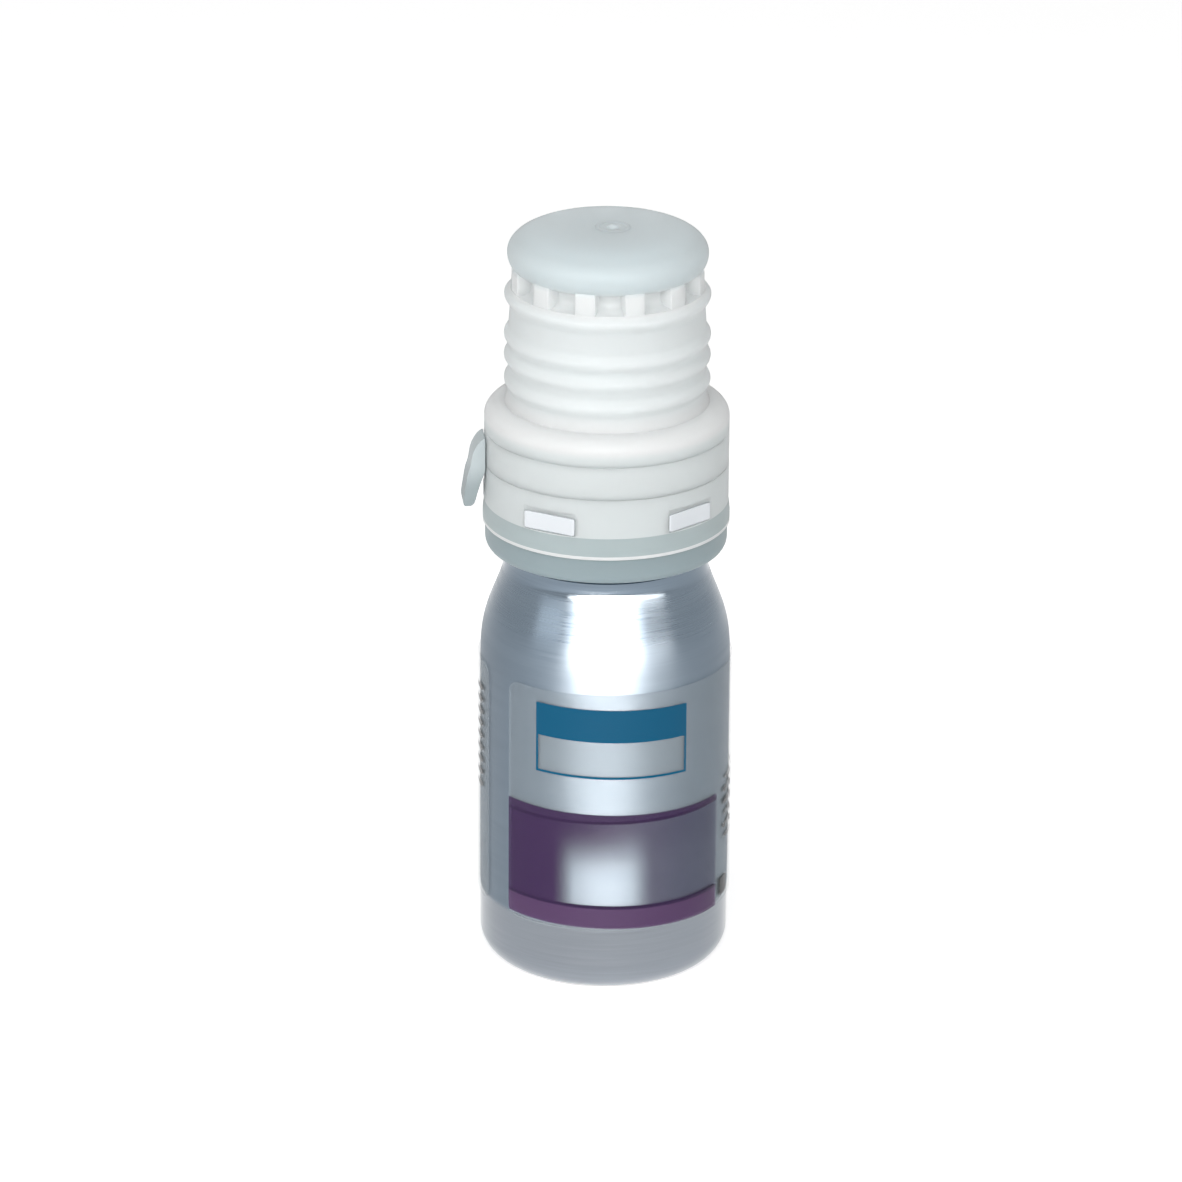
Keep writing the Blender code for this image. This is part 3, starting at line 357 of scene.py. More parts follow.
# the collar's polypropylene, painted a little darker than the dropper's white, as shade on the lugs seen in
# the ring's windows
shadedCollarWhite = moulded("shadedCollarPolypropylene", (0.66, 0.69, 0.72), 0.40, gloss=0.10)
tipPlastic = moulded("nozzleTipPlastic", (0.84, 0.88, 0.92), 0.30)
softPlug = moulded("softLiner", (0.80, 0.83, 0.83), 0.5)
sealRubber = moulded("sealRubber", (0.42, 0.43, 0.44), 0.62, variation=0.08)
membrane = moulded("filterMembrane", (0.88, 0.88, 0.84), 0.85, variation=0.05, grain=6000.0)
print("finishes made")

# Printed film: angles from the front in degrees, heights in millimetres, the slope of the print in
# millimetres a degree. A patch is given by its left and right angles and its low and high edges.
label = dict(innerRadius=12.53, thickness=0.14, bottom=7.0, height=25.3, corner=1.2, gap=4.0, gapAngle=-57.4,
             slope=0.35 / 60, panelLeft=-50.0, panelRight=62.4, lineLow=18.3, lineHigh=19.5, lineTaper=0.005,
             stripLow=7.3, stripHigh=9.7, hairline=0.3, boxLeft=-32.2, boxRight=39.6, boxLow=23.4,
             boxMiddle=27.3, boxHigh=30.7, boxLine=0.22, rowPitch=1.3, rowMark=(0.25, 0.62), dashAlong=0.45,
             dashStep=3.7, dashCut=0.42, rowsPatch=(71.0, 131.0, 13.5, 20.1),
             columnPatch=(-86.0, -75.0, 18.6, 29.6), blockPatch=(67.0, 76.0, 7.6, 9.4))
# The purple ink is painted thinner and paler, as a painted highlight, in a field below the middle that is
# strongest at its foot, and thinner towards the right, as a painted reflection
paintedHighlight = dict(heights=(18.2, 12.6), left=(-24.0, -13.0), right=(12.0, 24.0), rightShare=0.9, tint=0.6,
              ink=0.06, thin=0.88, side=(-33.0, 50.0), rightReflectionShare=0.84)
inkColours = dict(clear=(0.34, 0.39, 0.42), clearLight=(0.40, 0.45, 0.48), panel=(0.055, 0.025, 0.090),
                  line=(0.058, 0.030, 0.092), strip=(0.110, 0.055, 0.140), hairline=(0.030, 0.012, 0.055),
                  blue=(0.0, 0.088, 0.180), dashes=(0.02, 0.02, 0.025))
cover = dict(film=0.15, panel=0.52, bars=0.54, hairline=0.2, blue=0.76, dashes=0.75, box=0.11, most=0.92)
filmSurface = dict(cloud=(160.0, 160.0, 160.0), roughness=0.24, panelMatt=0.12, cloudRough=0.03, bump=0.10,
                   depth=0.02, gloss=0.15)


def printedFilm(name):
    lab, f, k, s = label, paintedHighlight, cover, filmSurface
    made = Finish(name)
    x, y, z = made.axes()
    turn = x.maths("ARCTAN2", x, 0.0 - y) * (180 / math.pi)
    level = z * (1 / mm)
    height = level + turn * lab["slope"]

    def patch(which):
        left, right, low, high = lab[which]
        return turn.between(left, right) * level.between(low, high)

    panelWide = turn.between(lab["panelLeft"], lab["panelRight"])
    panel = panelWide * height.between(lab["stripLow"], lab["lineHigh"])
    lineLow = lab["lineLow"] + (turn - lab["panelLeft"]) * lab["lineTaper"]
    line = panelWide * height.between(lineLow, lab["lineHigh"])
    strip = panelWide * height.between(lab["stripLow"], lab["stripHigh"])
    hairline = panelWide * (height.between(lineLow, lineLow + lab["hairline"])
                            + height.between(lab["stripHigh"] - lab["hairline"], lab["stripHigh"]))
    boxWide = turn.between(lab["boxLeft"], lab["boxRight"])
    edge = math.degrees(lab["boxLine"] / lab["innerRadius"])
    hollow = (turn.between(lab["boxLeft"] + edge, lab["boxRight"] - edge)
              * height.between(lab["boxLow"] + lab["boxLine"], lab["boxHigh"]))
    border = boxWide * height.between(lab["boxLow"], lab["boxHigh"]) * (1 - hollow)
    blue = border.maths("MAXIMUM", boxWide * height.between(lab["boxMiddle"], lab["boxHigh"]), border)

    row = level / lab["rowPitch"]
    dashPlace = made.add("ShaderNodeCombineXYZ", {}, {0: turn * lab["dashAlong"],
                                                      1: row.maths("FLOOR", row) * lab["dashStep"]})
    dash = made.add("ShaderNodeTexNoise", {}, {"Vector": dashPlace, "Scale": 1.0, "Detail": 0.0}, "Fac")
    dashes = patch("rowsPatch") * (dash > lab["dashCut"]) + patch("columnPatch")
    dashes = dashes * row.maths("FRACT", row).between(*lab["rowMark"]) + patch("blockPatch")

    bars = line + strip
    field = panel - bars
    # painted highlight: the ink is thinned and paled in a field below the middle, where the metal's highlight
    # shows through, and thinned towards the right as painted reflection
    highlightField = (made.eased(height, *f["heights"]) * made.eased(turn, *f["left"])
            * (1 - made.eased(turn, *f["right"]) * f["rightShare"]) * field)
    thin = (1 - highlightField * f["thin"]) * (1 - made.eased(turn, *f["side"]) * f["rightReflectionShare"])
    cloud = made.noise(s["cloud"])
    clear = made.mix(cloud, inkColours["clear"], inkColours["clearLight"])
    colour = made.mix(panel * (1 - highlightField * f["tint"]), clear, inkColours["panel"])
    for mask, ink in ((line, "line"), (strip, "strip"), (hairline, "hairline"), (blue, "blue"),
                      (dashes, "dashes")):
        colour = made.mix(mask, colour, inkColours[ink])
    # the cover over the lower half of the box's inside is painted shade, which dims the metal's highlight
    # there
    alpha = (k["film"] - highlightField * f["ink"] + field * k["panel"] * thin + bars * k["bars"]
             + hairline * k["hairline"] + blue * k["blue"] + dashes * k["dashes"]
             + hollow * (height < lab["boxMiddle"]) * k["box"])
    alpha = alpha.maths("MINIMUM", alpha, k["most"])
    rough = s["roughness"] + field * s["panelMatt"] + s["cloudRough"] * (cloud - 0.5)
    return made.principled(colour=colour, alpha=alpha, roughness=rough,
                           normal=made.bump(cloud, s["bump"], s["depth"] * mm), gloss=s["gloss"])


film = printedFilm("printedFilm")

# Bottle
bottle = dict(radius=12.45, neck=10.0, bodyTop=30.2, neckFoot=43.0, power=2.13, corner=2.8, wall=0.6,
              recess=7.55, recessDepth=0.4, base=0.9, groove=9.4, grooveLow=43.8, grooveHigh=45.2,
              beadProud=0.9, beadHeight=2.4, mouth=8.4)


def shoulderCurve(foot, top, count):
    # the radius eases from foot to top with the height share s by ((1 - cos(pi s)) / 2) ^ power
    s = np.linspace(0, 1, count)
    drop = (0.5 - 0.5 * np.cos(np.pi * s)) ** bottle["power"]
    return np.column_stack([foot - (foot - top) * drop,
                            bottle["bodyTop"] + (bottle["neckFoot"] - bottle["bodyTop"]) * s])


def makeBottle():
    # inside from the floor up to the mouth, over the bead, and down outside to the recess in the base
    b = bottle
    inner, floor = b["radius"] - b["wall"], b["recessDepth"] + b["base"]
    centre, innerCorner = b["radius"] - b["corner"], b["corner"] - b["wall"]
    mouthTop, halfBead = b["grooveHigh"] + b["beadHeight"], b["beadHeight"] / 2
    profile = outline([
        (0.0, floor), arcPoints(centre, floor + innerCorner, innerCorner, innerCorner, -90, 0),
        shoulderCurve(inner, b["neck"] - b["wall"], 24), (b["mouth"], b["grooveLow"]), (b["mouth"], mouthTop),
        arcPoints(b["groove"], mouthTop - halfBead, b["beadProud"], halfBead, 90, -90, 17),
        (b["groove"], b["grooveLow"]), shoulderCurve(b["radius"], b["neck"], 56)[::-1],
        arcPoints(centre, b["corner"], b["corner"], b["corner"], 0, -90, 17),
        (b["recess"], 0.0), (b["recess"] - b["recessDepth"], b["recessDepth"]), (0.0, b["recessDepth"])])
    return turned("aluminiumBottle", profile, steps=160)


finishPiece(makeBottle(), "root", "bottle", aluminium)


def makeLabel():
    # a thin wall (r, a, z) whose height shrinks along a quarter circle at each end of the wrap
    lab = label
    outer = lab["innerRadius"] + lab["thickness"]
    half, bend = math.degrees(lab["gap"] / outer / 2), math.degrees(lab["corner"] / outer)
    first, last = lab["gapAngle"] + half, lab["gapAngle"] - half + 360
    quarter = np.linspace(0, np.pi / 2, 9)
    along, rise = bend * (1 - np.cos(quarter)), lab["corner"] * (1 - np.sin(quarter))
    middle = np.linspace(first + bend, last - bend, 150)[1:-1]
    a = np.radians(np.concatenate([first + along, middle, last - along[::-1]]))
    inset = np.concatenate([rise, np.zeros(len(middle)), rise[::-1]])
    low, high = lab["bottom"] + inset, lab["bottom"] + lab["height"] - inset
    radii = np.array([outer, outer, lab["innerRadius"], lab["innerRadius"]])
    heights = np.stack([low, high, high, low], axis=1)
    grid = np.stack([radii * np.sin(a)[:, None], -radii * np.cos(a)[:, None], heights], axis=-1)
    return closeEnds(gridPiece("filmLabel", grid, wrapU=False))


finishPiece(makeLabel(), "root", "label", film)

# Ring that stays on the neck, with its windows
ring = dict(radius=12.1, inner=11.3, bottom=43.7, top=52.55, foot=11.3, lip=12.0, lipLow=44.7, stepLow=46.4,
            stepHigh=47.4, proud=0.13, undercut=0.1, ledge=48.1, slope=0.5, throat=10.6, hook=9.7,
            hookTop=45.1, chamfer=0.3, fillet=0.03, firstAngle=-28.0, windows=5, windowWidth=5.6,
            windowLow=48.65, windowHigh=50.5, windowReach=0.5, ledgeHeight=0.5, ledgeDepth=0.35,
            ledgeExtra=0.5, ledgeReach=0.6)


def makeRing():
    # a turned profile, cut by five windows and by a shallow ledge along the top of each
    g = ring
    profile = outline([
        (g["radius"], g["top"]), (g["radius"], g["ledge"] + g["slope"]),
        (g["radius"] + g["proud"], g["stepHigh"]), (g["radius"] + g["proud"], g["stepLow"]),
        (g["lip"], g["stepLow"] - g["undercut"]), (g["lip"], g["lipLow"]),
        arcPoints(g["foot"], g["lipLow"], g["lip"] - g["foot"], g["lipLow"] - g["bottom"], -10, -90),
        (g["hook"] + g["chamfer"], g["bottom"]), (g["hook"], g["bottom"] + g["chamfer"]),
        (g["hook"], g["hookTop"]), (g["throat"], g["hookTop"] + g["throat"] - g["hook"]),
        (g["throat"], g["ledge"]), (g["inner"], g["ledge"]), (g["inner"], g["top"])], fillet=g["fillet"])
    piece = turned("neckRing", profile)
    angles = evenAngles(g["windows"], g["firstAngle"])
    carve(piece, softBlocks("windowTool", g["inner"] - g["windowReach"], g["radius"] + g["windowReach"],
                            g["windowLow"], g["windowHigh"], g["windowWidth"], angles))
    middle, tall = g["windowHigh"] + g["ledgeHeight"] / 4, g["ledgeHeight"] * 3 / 4
    return carve(piece, softBlocks("ledgeTool", g["radius"] - g["ledgeDepth"], g["radius"] + g["ledgeReach"],
                                   middle - tall, middle + tall, g["windowWidth"] + 2 * g["ledgeExtra"],
                                   angles))


finishPiece(makeRing(), "root", "retaining_ring", shadedRingNatural)

# White collar that snaps under the ring
collar = dict(radius=11.0, inner=10.4, top=53.15, bottom=48.4, deckLow=49.75, deckHigh=50.75, hole=6.9,
              lugRoot=0.3, lugReach=11.9, lugLow=48.70, lugHigh=50.45, lugWidth=5.55, lugSquare=0.12)


def makeCollar():
    # a turned profile with a deck inside, joined with the lugs that fill the ring's windows
    c = collar
    profile = outline([(c["radius"], c["top"]), (c["radius"], c["bottom"]), (c["inner"], c["bottom"]),
                       (c["inner"], c["deckLow"]), (c["hole"], c["deckLow"]), (c["hole"], c["deckHigh"]),
                       (c["inner"], c["deckHigh"]), (c["inner"], c["top"])])
    lugs = softBlocks("lugTool", c["radius"] - c["lugRoot"], c["lugReach"], c["lugLow"], c["lugHigh"],
                      c["lugWidth"], evenAngles(ring["windows"], ring["firstAngle"]), square=c["lugSquare"])
    return carve(turned("whiteCollar", profile), lugs, "UNION")


finishPiece(makeCollar(), "root", "snap_collar", shadedCollarWhite)

# Tear band and its pull tab
band = dict(radius=12.1, inner=11.3, bottom=52.58, top=55.92, fillet=0.03, bridges=8, bridgeWidth=0.6,
            bridgeReach=0.15, bridgeRoot=0.4, bridgeInset=0.2)


def makeBand():
    # a plain turned band with small bridges under and over it
    b = band
    profile = outline([(b["radius"], b["top"]), (b["radius"], b["bottom"]), (b["inner"], b["bottom"]),
                       (b["inner"], b["top"])], fillet=b["fillet"])
    piece = turned("tearBand", profile)
    for low, high in ((b["bottom"] - b["bridgeReach"], b["bottom"] + b["bridgeRoot"]),
                      (b["top"] - b["bridgeRoot"], b["top"] + b["bridgeReach"])):
        carve(piece, softBlocks("bridgeTool", b["inner"] + b["bridgeInset"], b["radius"] - b["bridgeInset"],
                                low, high, b["bridgeWidth"], evenAngles(b["bridges"], 180 / b["bridges"]),
                                detail=(16, 12)), "UNION")
    return piece


finishPiece(makeBand(), "tear_band", "tear_band", natural)

# The strap's side view is given in shares of its reach and length, down its outer side and up its inner one
tab = dict(angle=-84.0, radius=12.14, top=55.45, width=3.0, reach=2.2, length=7.0, edge=0.18, edgeSteps=3,
           edgeAngle=60, steps=6,
           outer=((0.0, 0.0), (0.10, 0.01), (0.28, 0.06), (0.46, 0.15), (0.58, 0.25), (0.64, 0.36),
                  (0.69, 0.44), (0.80, 0.55), (0.90, 0.74), (0.98, 0.91), (0.98, 0.96), (0.90, 1.00)),
           inner=((0.66, 1.00), (0.52, 0.97), (0.44, 0.92), (0.34, 0.80), (0.20, 0.66), (0.06, 0.54),
                  (0.00, 0.46), (0.00, 0.23)))


def makeTab():
    # a smooth closed curve through the side view's points, carried across the strap's width. From B to C it
    # is half of 2B + (C-A) t + (2A-5B+4C-D) t^2 + (3B-A-3C+D) t^3, with A the point before B and D after C.
    t = tab
    knots = np.array(t["outer"] + t["inner"]) * (t["reach"], -t["length"])
    share = np.linspace(0, 1, t["steps"], endpoint=False)[None, :, None]
    before, here, after, beyond = (np.roll(knots, shift, axis=0)[:, None] for shift in (1, 0, -1, -2))
    curve = 0.5 * (2 * here + (after - before) * share
                   + (2 * before - 5 * here + 4 * after - beyond) * share ** 2
                   + (3 * here - before - 3 * after + beyond) * share ** 3)
    side = np.clip(curve.reshape(-1, 2), knots.min(axis=0), knots.max(axis=0))
    a = math.radians(t["angle"])
    outward, across = np.array([math.sin(a), -math.cos(a)]), np.array([math.cos(a), math.sin(a)])
    rings = [np.column_stack([(t["radius"] + side[:, :1]) * outward + across * half * t["width"] / 2,
                              t["top"] + side[:, 1]]) for half in (-1, 1)]
    count = len(side)
    faces = [list(range(count)), list(range(2 * count - 1, count - 1, -1))]
    faces += [[i, i + count, (i + 1) % count + count, (i + 1) % count] for i in range(count)]
    piece = tidy(newPiece("pullTab", np.vstack(rings), faces))
    soften = piece.modifiers.new("softEdges", "BEVEL")
    soften.width = t["edge"] * mm
    soften.segments = t["edgeSteps"]
    soften.angle_limit = math.radians(t["edgeAngle"])
    return piece


finishPiece(makeTab(), "pull_tab", "pull_tab", shadedStrapNatural)

# Dropper: finger flange, skirt, sleeve and nozzle in one, and its tip
dropper = dict(fingerLow=56.0, fingerHigh=57.0, fingerRadius=11.05, skirtRadius=10.1, skirtLow=53.6,
               skirtWall=0.8, sleeveRadius=6.6, sleeveInner=5.9, sleeveLow=48.55, hookRadius=7.1,
               hookTop=49.6, bossRadius=2.6, bossLow=51.75, socket=1.55, socketTop=58.35, channel=1.1,
               tipSocket=1.5, tipSocketLow=63.9, coneFoot=7.8, coneTop=60.6, coneRise=3.6, nozzleBase=4.0,
               nozzleTop=66.5, nozzleTopRadius=2.75, fillet=0.22)


def makeDropper():
    # down the nozzle's flared side to the finger flange, round skirt and sleeve, and up the channel inside
    d = dropper
    skirtInner = d["skirtRadius"] - d["skirtWall"]
    profile = outline([
        (d["tipSocket"], d["nozzleTop"]), (d["nozzleTopRadius"], d["nozzleTop"]),
        arcPoints(d["coneFoot"], d["coneTop"], d["coneFoot"] - d["nozzleBase"], d["coneRise"], 180, 270, 25),
        (d["fingerRadius"], d["fingerHigh"]), (d["fingerRadius"], d["fingerLow"]),
        (d["skirtRadius"], d["fingerLow"]), (d["skirtRadius"], d["skirtLow"]),
        (skirtInner, d["skirtLow"]), (skirtInner, d["fingerLow"]),
        (d["sleeveRadius"], d["fingerLow"]), (d["sleeveRadius"], d["hookTop"]),
        (d["hookRadius"], d["hookTop"]), (d["sleeveRadius"], d["sleeveLow"]),
        (d["sleeveInner"], d["sleeveLow"]), (d["sleeveInner"], d["fingerLow"]),
        (d["bossRadius"], d["fingerLow"]), (d["bossRadius"], d["bossLow"]), (d["socket"], d["bossLow"]),
        (d["socket"], d["socketTop"]), (d["channel"], d["socketTop"]), (d["channel"], d["tipSocketLow"]),
        (d["tipSocket"], d["tipSocketLow"])], fillet=d["fillet"])
    return turned("dropperBody", profile, steps=128)


finishPiece(makeDropper(), "dropper", "actuator", white)

tip = dict(bottom=66.65, top=70.5, foot=2.75, shoulder=2.35, rounding=1.2, crown=0.9, orifice=0.35,
           orificeFoot=69.9, seatFoot=69.1, cavity=0.95, spigot=1.4, spigotLow=64.05, fillet=0.08)


def makeTip():
    # a rounded nose on a spigot, hollow up to the valve's seat
    t = tip
    profile = outline([
        (t["orifice"], t["top"]),
        arcPoints(t["crown"], t["top"] - t["rounding"], t["shoulder"] - t["crown"], t["rounding"], 90, 0, 17),
        (t["foot"], t["bottom"]), (t["spigot"], t["bottom"]), (t["spigot"], t["spigotLow"]),
        (t["cavity"], t["spigotLow"]), (t["cavity"], t["seatFoot"]),
        (t["orifice"], t["orificeFoot"])], fillet=t["fillet"])
    return turned("nozzleTip", profile, steps=96)


finishPiece(makeTip(), "dropper", "nozzle_tip", tipPlastic)

# Cap: domed disc on radial ribs, grip rings, rounded shoulder and skirt, and the moulding gate's mark
cap = dict(radius=12.1, inner=11.2, bottom=55.95, domeFoot=57.25, domeWidth=2.0, domeHeight=1.5,
           gripLow=58.75, gripTop=70.6, grip=9.6, valley=9.72, crest=10.17, halfBead=1.05,
           beads=(65.7, 63.55, 61.1), topRing=10.15, topRingLow=1.3, topRingHigh=0.75, neck=8.1,
           neckFootWidth=1.1, neckFootHeight=0.9, discLow=72.4, discRim=74.05, top=76.55, discRadius=9.87,
           discPower=4.9, discSpacing=0.8, edgeRound=1.2, wall=0.9, innerFoot=57.15, tube=6.5,
           linerTop=73.65, ceiling=75.05, fillet=0.03, ribs=12, ribRoot=0.45, ribReach=9.3, ribFoot=0.4,
           ribWidth=1.85, ribSpread=0.45, ribAngle=16.5, ribSquare=0.14)
gate = dict(offset=0.45, ringRadius=1.5, rim=0.26, rimHeight=76.43, dimple=0.85, dimpleDepth=0.7,
            toolRise=0.5)


def beadCurve(centre, crest, valley, lower, upper, count=13):
    # a rounded ring from its upper valley to its lower one: the radius follows a cosine of the height
    share = np.linspace(1, -1, count)
    return np.column_stack([valley + (crest - valley) * (0.5 + 0.5 * np.cos(np.pi * share)),
                            centre + share * np.where(share > 0, upper, lower)])


def makeCap():
    # the disc's top stands at the rim's height plus its rise times the root of 1 - (r / R) ^ power
    c = cap
    edge, bore, gripInner = c["discRadius"] - c["edgeRound"], c["grip"] - c["wall"], c["gripTop"] - c["wall"]
    share = np.sin(np.linspace(0, np.pi / 2, 49)) ** c["discSpacing"]
    dome = np.column_stack([c["discRadius"] * share, c["discRim"] + (c["top"] - c["discRim"])
                            * np.sqrt(1 - share ** c["discPower"])])
    profile = outline([
        dome, arcPoints(edge, c["discRim"], c["edgeRound"], c["discRim"] - c["discLow"], 0, -90, 13)[1:],
        (c["neck"], c["discLow"]),
        arcPoints(c["neck"] + c["neckFootWidth"], c["gripTop"] + c["neckFootHeight"], c["neckFootWidth"],
                  c["neckFootHeight"], 180, 270),
        beadCurve(c["gripTop"] - c["topRingHigh"], c["topRing"], c["grip"], c["topRingLow"], c["topRingHigh"],
                  17),
        *[beadCurve(centre, c["crest"], c["valley"], c["halfBead"], c["halfBead"]) for centre in c["beads"]],
        arcPoints(c["radius"] - c["domeWidth"], c["domeFoot"], c["domeWidth"], c["domeHeight"], 90, 0, 17),
        (c["radius"], c["bottom"]), (c["inner"], c["bottom"]),
        arcPoints(bore, c["innerFoot"], c["inner"] - bore, c["gripLow"] - c["wall"] - c["innerFoot"], 0, 90),
        (bore, gripInner), (c["tube"], gripInner), (c["tube"], c["linerTop"]),
        (c["tube"] - c["wall"], c["linerTop"] + c["wall"]), (0.0, c["ceiling"])], fillet=c["fillet"])
    piece = turned("gripCap", profile, steps=160)
    root = c["ribRoot"]
    ribs = softBlocks("ribTool", c["neck"] - root, c["ribReach"], c["gripTop"] - root, c["discLow"] + root,
                      c["ribWidth"], evenAngles(c["ribs"], c["ribAngle"]), square=c["ribSquare"],
                      foot=(c["ribSpread"], c["ribFoot"]))
    carve(piece, ribs, "UNION")
    g = gate
    above, below = c["top"] + g["toolRise"], c["top"] - g["dimpleDepth"]
    cone = outline([(0.0, above), (g["dimple"], above), (g["dimple"] / 2, below), (0.0, below)])
    return carve(piece, turned("dimpleTool", cone, 48, (g["offset"], 0.0)))


finishPiece(makeCap(), "cap", "cap", natural)


def makeGate():
    # a ring of round section: r = R + w cos b, z = h + w sin b
    g = gate
    section = arcPoints(g["ringRadius"], g["rimHeight"], g["rim"], g["rim"], 0, 360, 25)[:-1]
    return turned("gateRim", section, 72, (g["offset"], 0.0))


gateRim = makeGate()
gateRim.data.materials.append(natural)
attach(gateRim, "cap")

liner = dict(top=73.5, low=72.6, outer=6.35, boss=3.45, cup=2.75, cupTop=70.65, cupLow=69.95)


def makeLiner():
    # a disc with a short cup under it, which closes over the tip
    n = liner
    profile = outline([(0.0, n["top"]), (n["outer"], n["top"]), (n["outer"], n["low"]), (n["boss"], n["low"]),
                       (n["boss"], n["cupLow"]), (n["cup"], n["cupLow"]), (n["cup"], n["cupTop"]),
                       (0.0, n["cupTop"])])
    return turned("capLiner", profile, steps=96)


finishPiece(makeLiner(), "cap", "cap_liner", softPlug)

# Springs, coiled at rest from their bottom to their top; in use they shorten as the piece on top of them is
# pressed
springs = dict(
    return_spring=dict(name="returnSpring", body="root", joint="dropper_press", travel=2.5, radius=4.3,
                       wire=0.3, bottom=45.85, top=55.85, turns=7),
    tip_spring=dict(name="tipSpring", body="dropper", joint="tip_valve_open", travel=0.3, radius=0.65,
                    wire=0.12, bottom=64.80, top=68.15, turns=4))


def makeSpring(s, stepsATurn=28, stepsRound=12):
    # a circle of the wire's radius, square to a helix and carried along it: the helix turns by a and rises
    # evenly from one wire above the bottom to one wire below the top, and b runs round the wire
    wire, around = s["wire"], 2 * np.pi * s["turns"]
    a = np.linspace(0, around, stepsATurn * s["turns"] + 1)[:, None]
    b = np.linspace(0, 2 * np.pi, stepsRound, endpoint=False)[None, :]
    rise = s["top"] - s["bottom"] - 2 * wire
    tilt = math.atan2(rise, around * s["radius"])
    reach, lean = s["radius"] + wire * np.cos(b), wire * np.sin(b) * math.sin(tilt)
    z = s["bottom"] + wire + rise * a / around + wire * np.sin(b) * math.cos(tilt)
    grid = np.stack([reach * np.sin(a) - lean * np.cos(a), -reach * np.cos(a) - lean * np.sin(a), z], axis=-1)
    return closeEnds(gridPiece(s["name"], grid, wrapU=False))


for node, s in springs.items():
    coil = finishPiece(makeSpring(s), s["body"], node, springSteel)
    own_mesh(coil)

# The pieces that keep their own solids
inside = dict(neck_gasket=sealRubber, pump_housing=white, vent_filter=membrane, intake_hood=natural,
              ball_cage=white, inlet_ball=ballSteel, piston_stem=white, piston_seal=softPlug,
              tip_valve_pin=tipPlastic, tip_spring_stop=white)
for node, finish in inside.items():
    for materialSlot in nodes[node].material_slots:
        materialSlot.material = finish
print("pieces made")

# Floor, background, lamps and camera, in metres. A lamp has its name, place, aim, size and power, and says
# whether it lights everything or only the metal and its film.
studio = dict(floorSize=3.0, floorColour=(0.90, 0.90, 0.90), floorRoughness=0.9, floorShade=0.98,
              floorGrain=(40.0, 40.0, 40.0), floorGlow=0.50, ambient=0.32,
              lamps=[("frontBox", (0.0, -0.51, 0.38), (0.0, 0.0, 0.05), (0.90, 0.30), 4.0, True),
                     ("leftBox", (-0.50, -0.30, 0.30), (0.0, 0.0, 0.05), (0.30, 0.30), 0.5, True),
                     ("topBox", (0.0, -0.10, 0.70), (0.0, 0.0, 0.05), (0.50, 0.50), 0.2, True),
                     ("glint", (0.0, -0.60, 0.088), (0.0, 0.0, 0.05), (0.76, 0.12), 15.5, False),
                     ("wideGlint", (0.14, -0.62, 0.088), (0.0, 0.0, 0.05), (1.80, 0.12), 6.5, False)],
              glintColour=(1.0, 0.88, 0.78))
camera = dict(aim=(-0.00145, 0.0, 0.0384), target=(0.0, 0.0, 0.028), distance=0.700, elevation=22.3,
              roll=0.37, lens=213.2, sensor=36.0, nearest=0.01, farthest=10.0)


def seenRay(graph):
    # 1 on camera, glossy and transmission rays, so that metal and glass show the same white background
    path = graph.add("ShaderNodeLightPath", {}, {}, "Is Camera Ray").socket.node
    seen = Value(graph, path.outputs["Is Camera Ray"])
    for kind in ("Is Glossy Ray", "Is Transmission Ray"):
        seen = seen.maths("MAXIMUM", seen, Value(graph, path.outputs[kind]))
    return seen


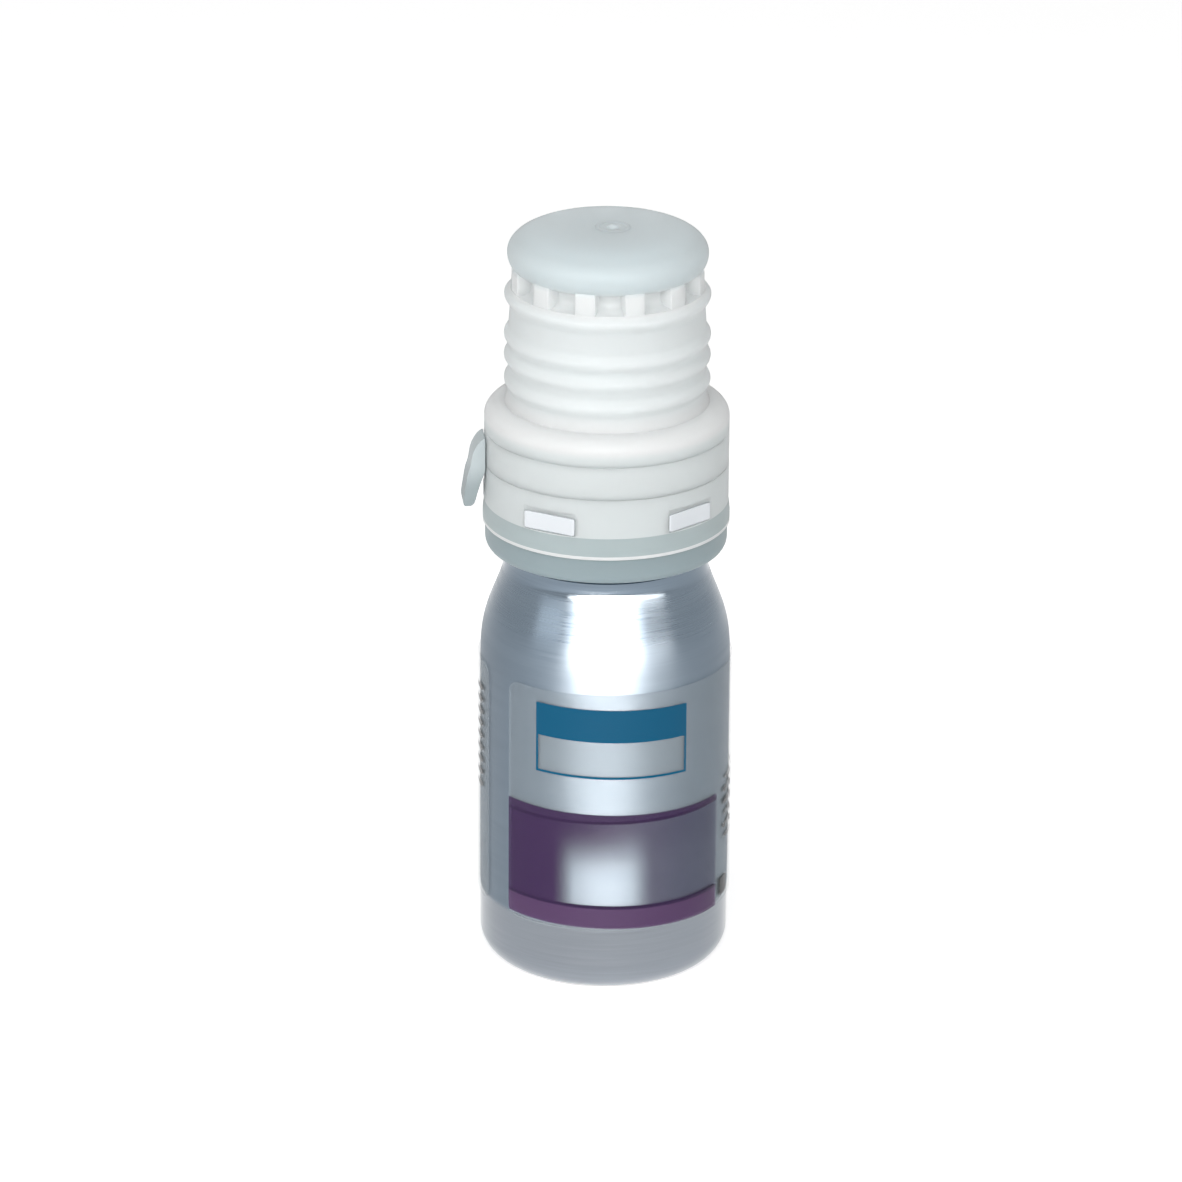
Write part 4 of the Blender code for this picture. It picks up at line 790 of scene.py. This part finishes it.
def makeFloor():
    half = studio["floorSize"] / 2
    corners = np.array([(-half, -half, 0.0), (half, -half, 0.0), (half, half, 0.0), (-half, half, 0.0)])
    floor = newPiece("floor", corners / mm, [(0, 1, 2, 3)])
    made = Finish("paleFloor")
    light = studio["floorColour"]
    dark = tuple(c * studio["floorShade"] for c in light)
    made.principled(colour=made.mix(made.noise(studio["floorGrain"]), dark, light),
                    roughness=studio["floorRoughness"], shineStrength=1.0,
                    shine=made.mix(seenRay(made) * studio["floorGlow"], (0.0, 0.0, 0.0), (1.0, 1.0, 1.0)))
    floor.data.materials.append(made.material)


def makeBackground():
    world = bpy.data.worlds.new("studio")
    bpy.context.scene.world = world
    world.use_nodes = True
    made = Graph(world.node_tree)
    backdrop = made.tree.nodes["Background"]
    made.feed(backdrop.inputs["Color"], (1.0, 1.0, 1.0, 1.0))
    made.feed(backdrop.inputs["Strength"], studio["ambient"] + (1.0 - studio["ambient"]) * seenRay(made))


def makeLamps():
    # the low glints only show in the metal and its film, whose long highlight they make
    bodyOnly = bpy.data.collections.new("bodyOnly")
    for name in ("aluminiumBottle", "filmLabel"):
        bodyOnly.objects.link(bpy.data.objects[name])
    for name, place, aim, size, power, everything in studio["lamps"]:
        data = bpy.data.lights.new(name, "AREA")
        data.shape = "RECTANGLE" if everything else "ELLIPSE"
        data.size, data.size_y = size
        data.energy = power
        lamp = bpy.data.objects.new(name, data)
        lamp.location = place
        lamp.rotation_euler = (Vector(aim) - Vector(place)).to_track_quat("-Z", "Y").to_euler()
        if not everything:
            data.color = studio["glintColour"]
            lamp.light_linking.receiver_collection = bodyOnly
            lamp.visible_diffuse = False
        bpy.context.scene.collection.objects.link(lamp)


def makeCamera():
    c = camera
    e = math.radians(c["elevation"])
    data = bpy.data.cameras.new("camera")
    data.lens, data.sensor_width = c["lens"], c["sensor"]
    data.clip_start, data.clip_end = c["nearest"], c["farthest"]
    holder = bpy.data.objects.new("camera", data)
    place = Vector(c["target"]) + c["distance"] * Vector((0.0, -math.cos(e), math.sin(e)))
    look = (Vector(c["aim"]) - place).to_track_quat("-Z", "Y").to_matrix().to_4x4()
    holder.matrix_world = Matrix.Translation(place) @ look @ Matrix.Rotation(math.radians(c["roll"]), 4, "Z")
    bpy.context.scene.collection.objects.link(holder)
    bpy.context.scene.camera = holder


makeFloor()
makeBackground()
makeLamps()
makeCamera()
bpy.context.scene.view_settings.view_transform = "Standard"
print("studio made")
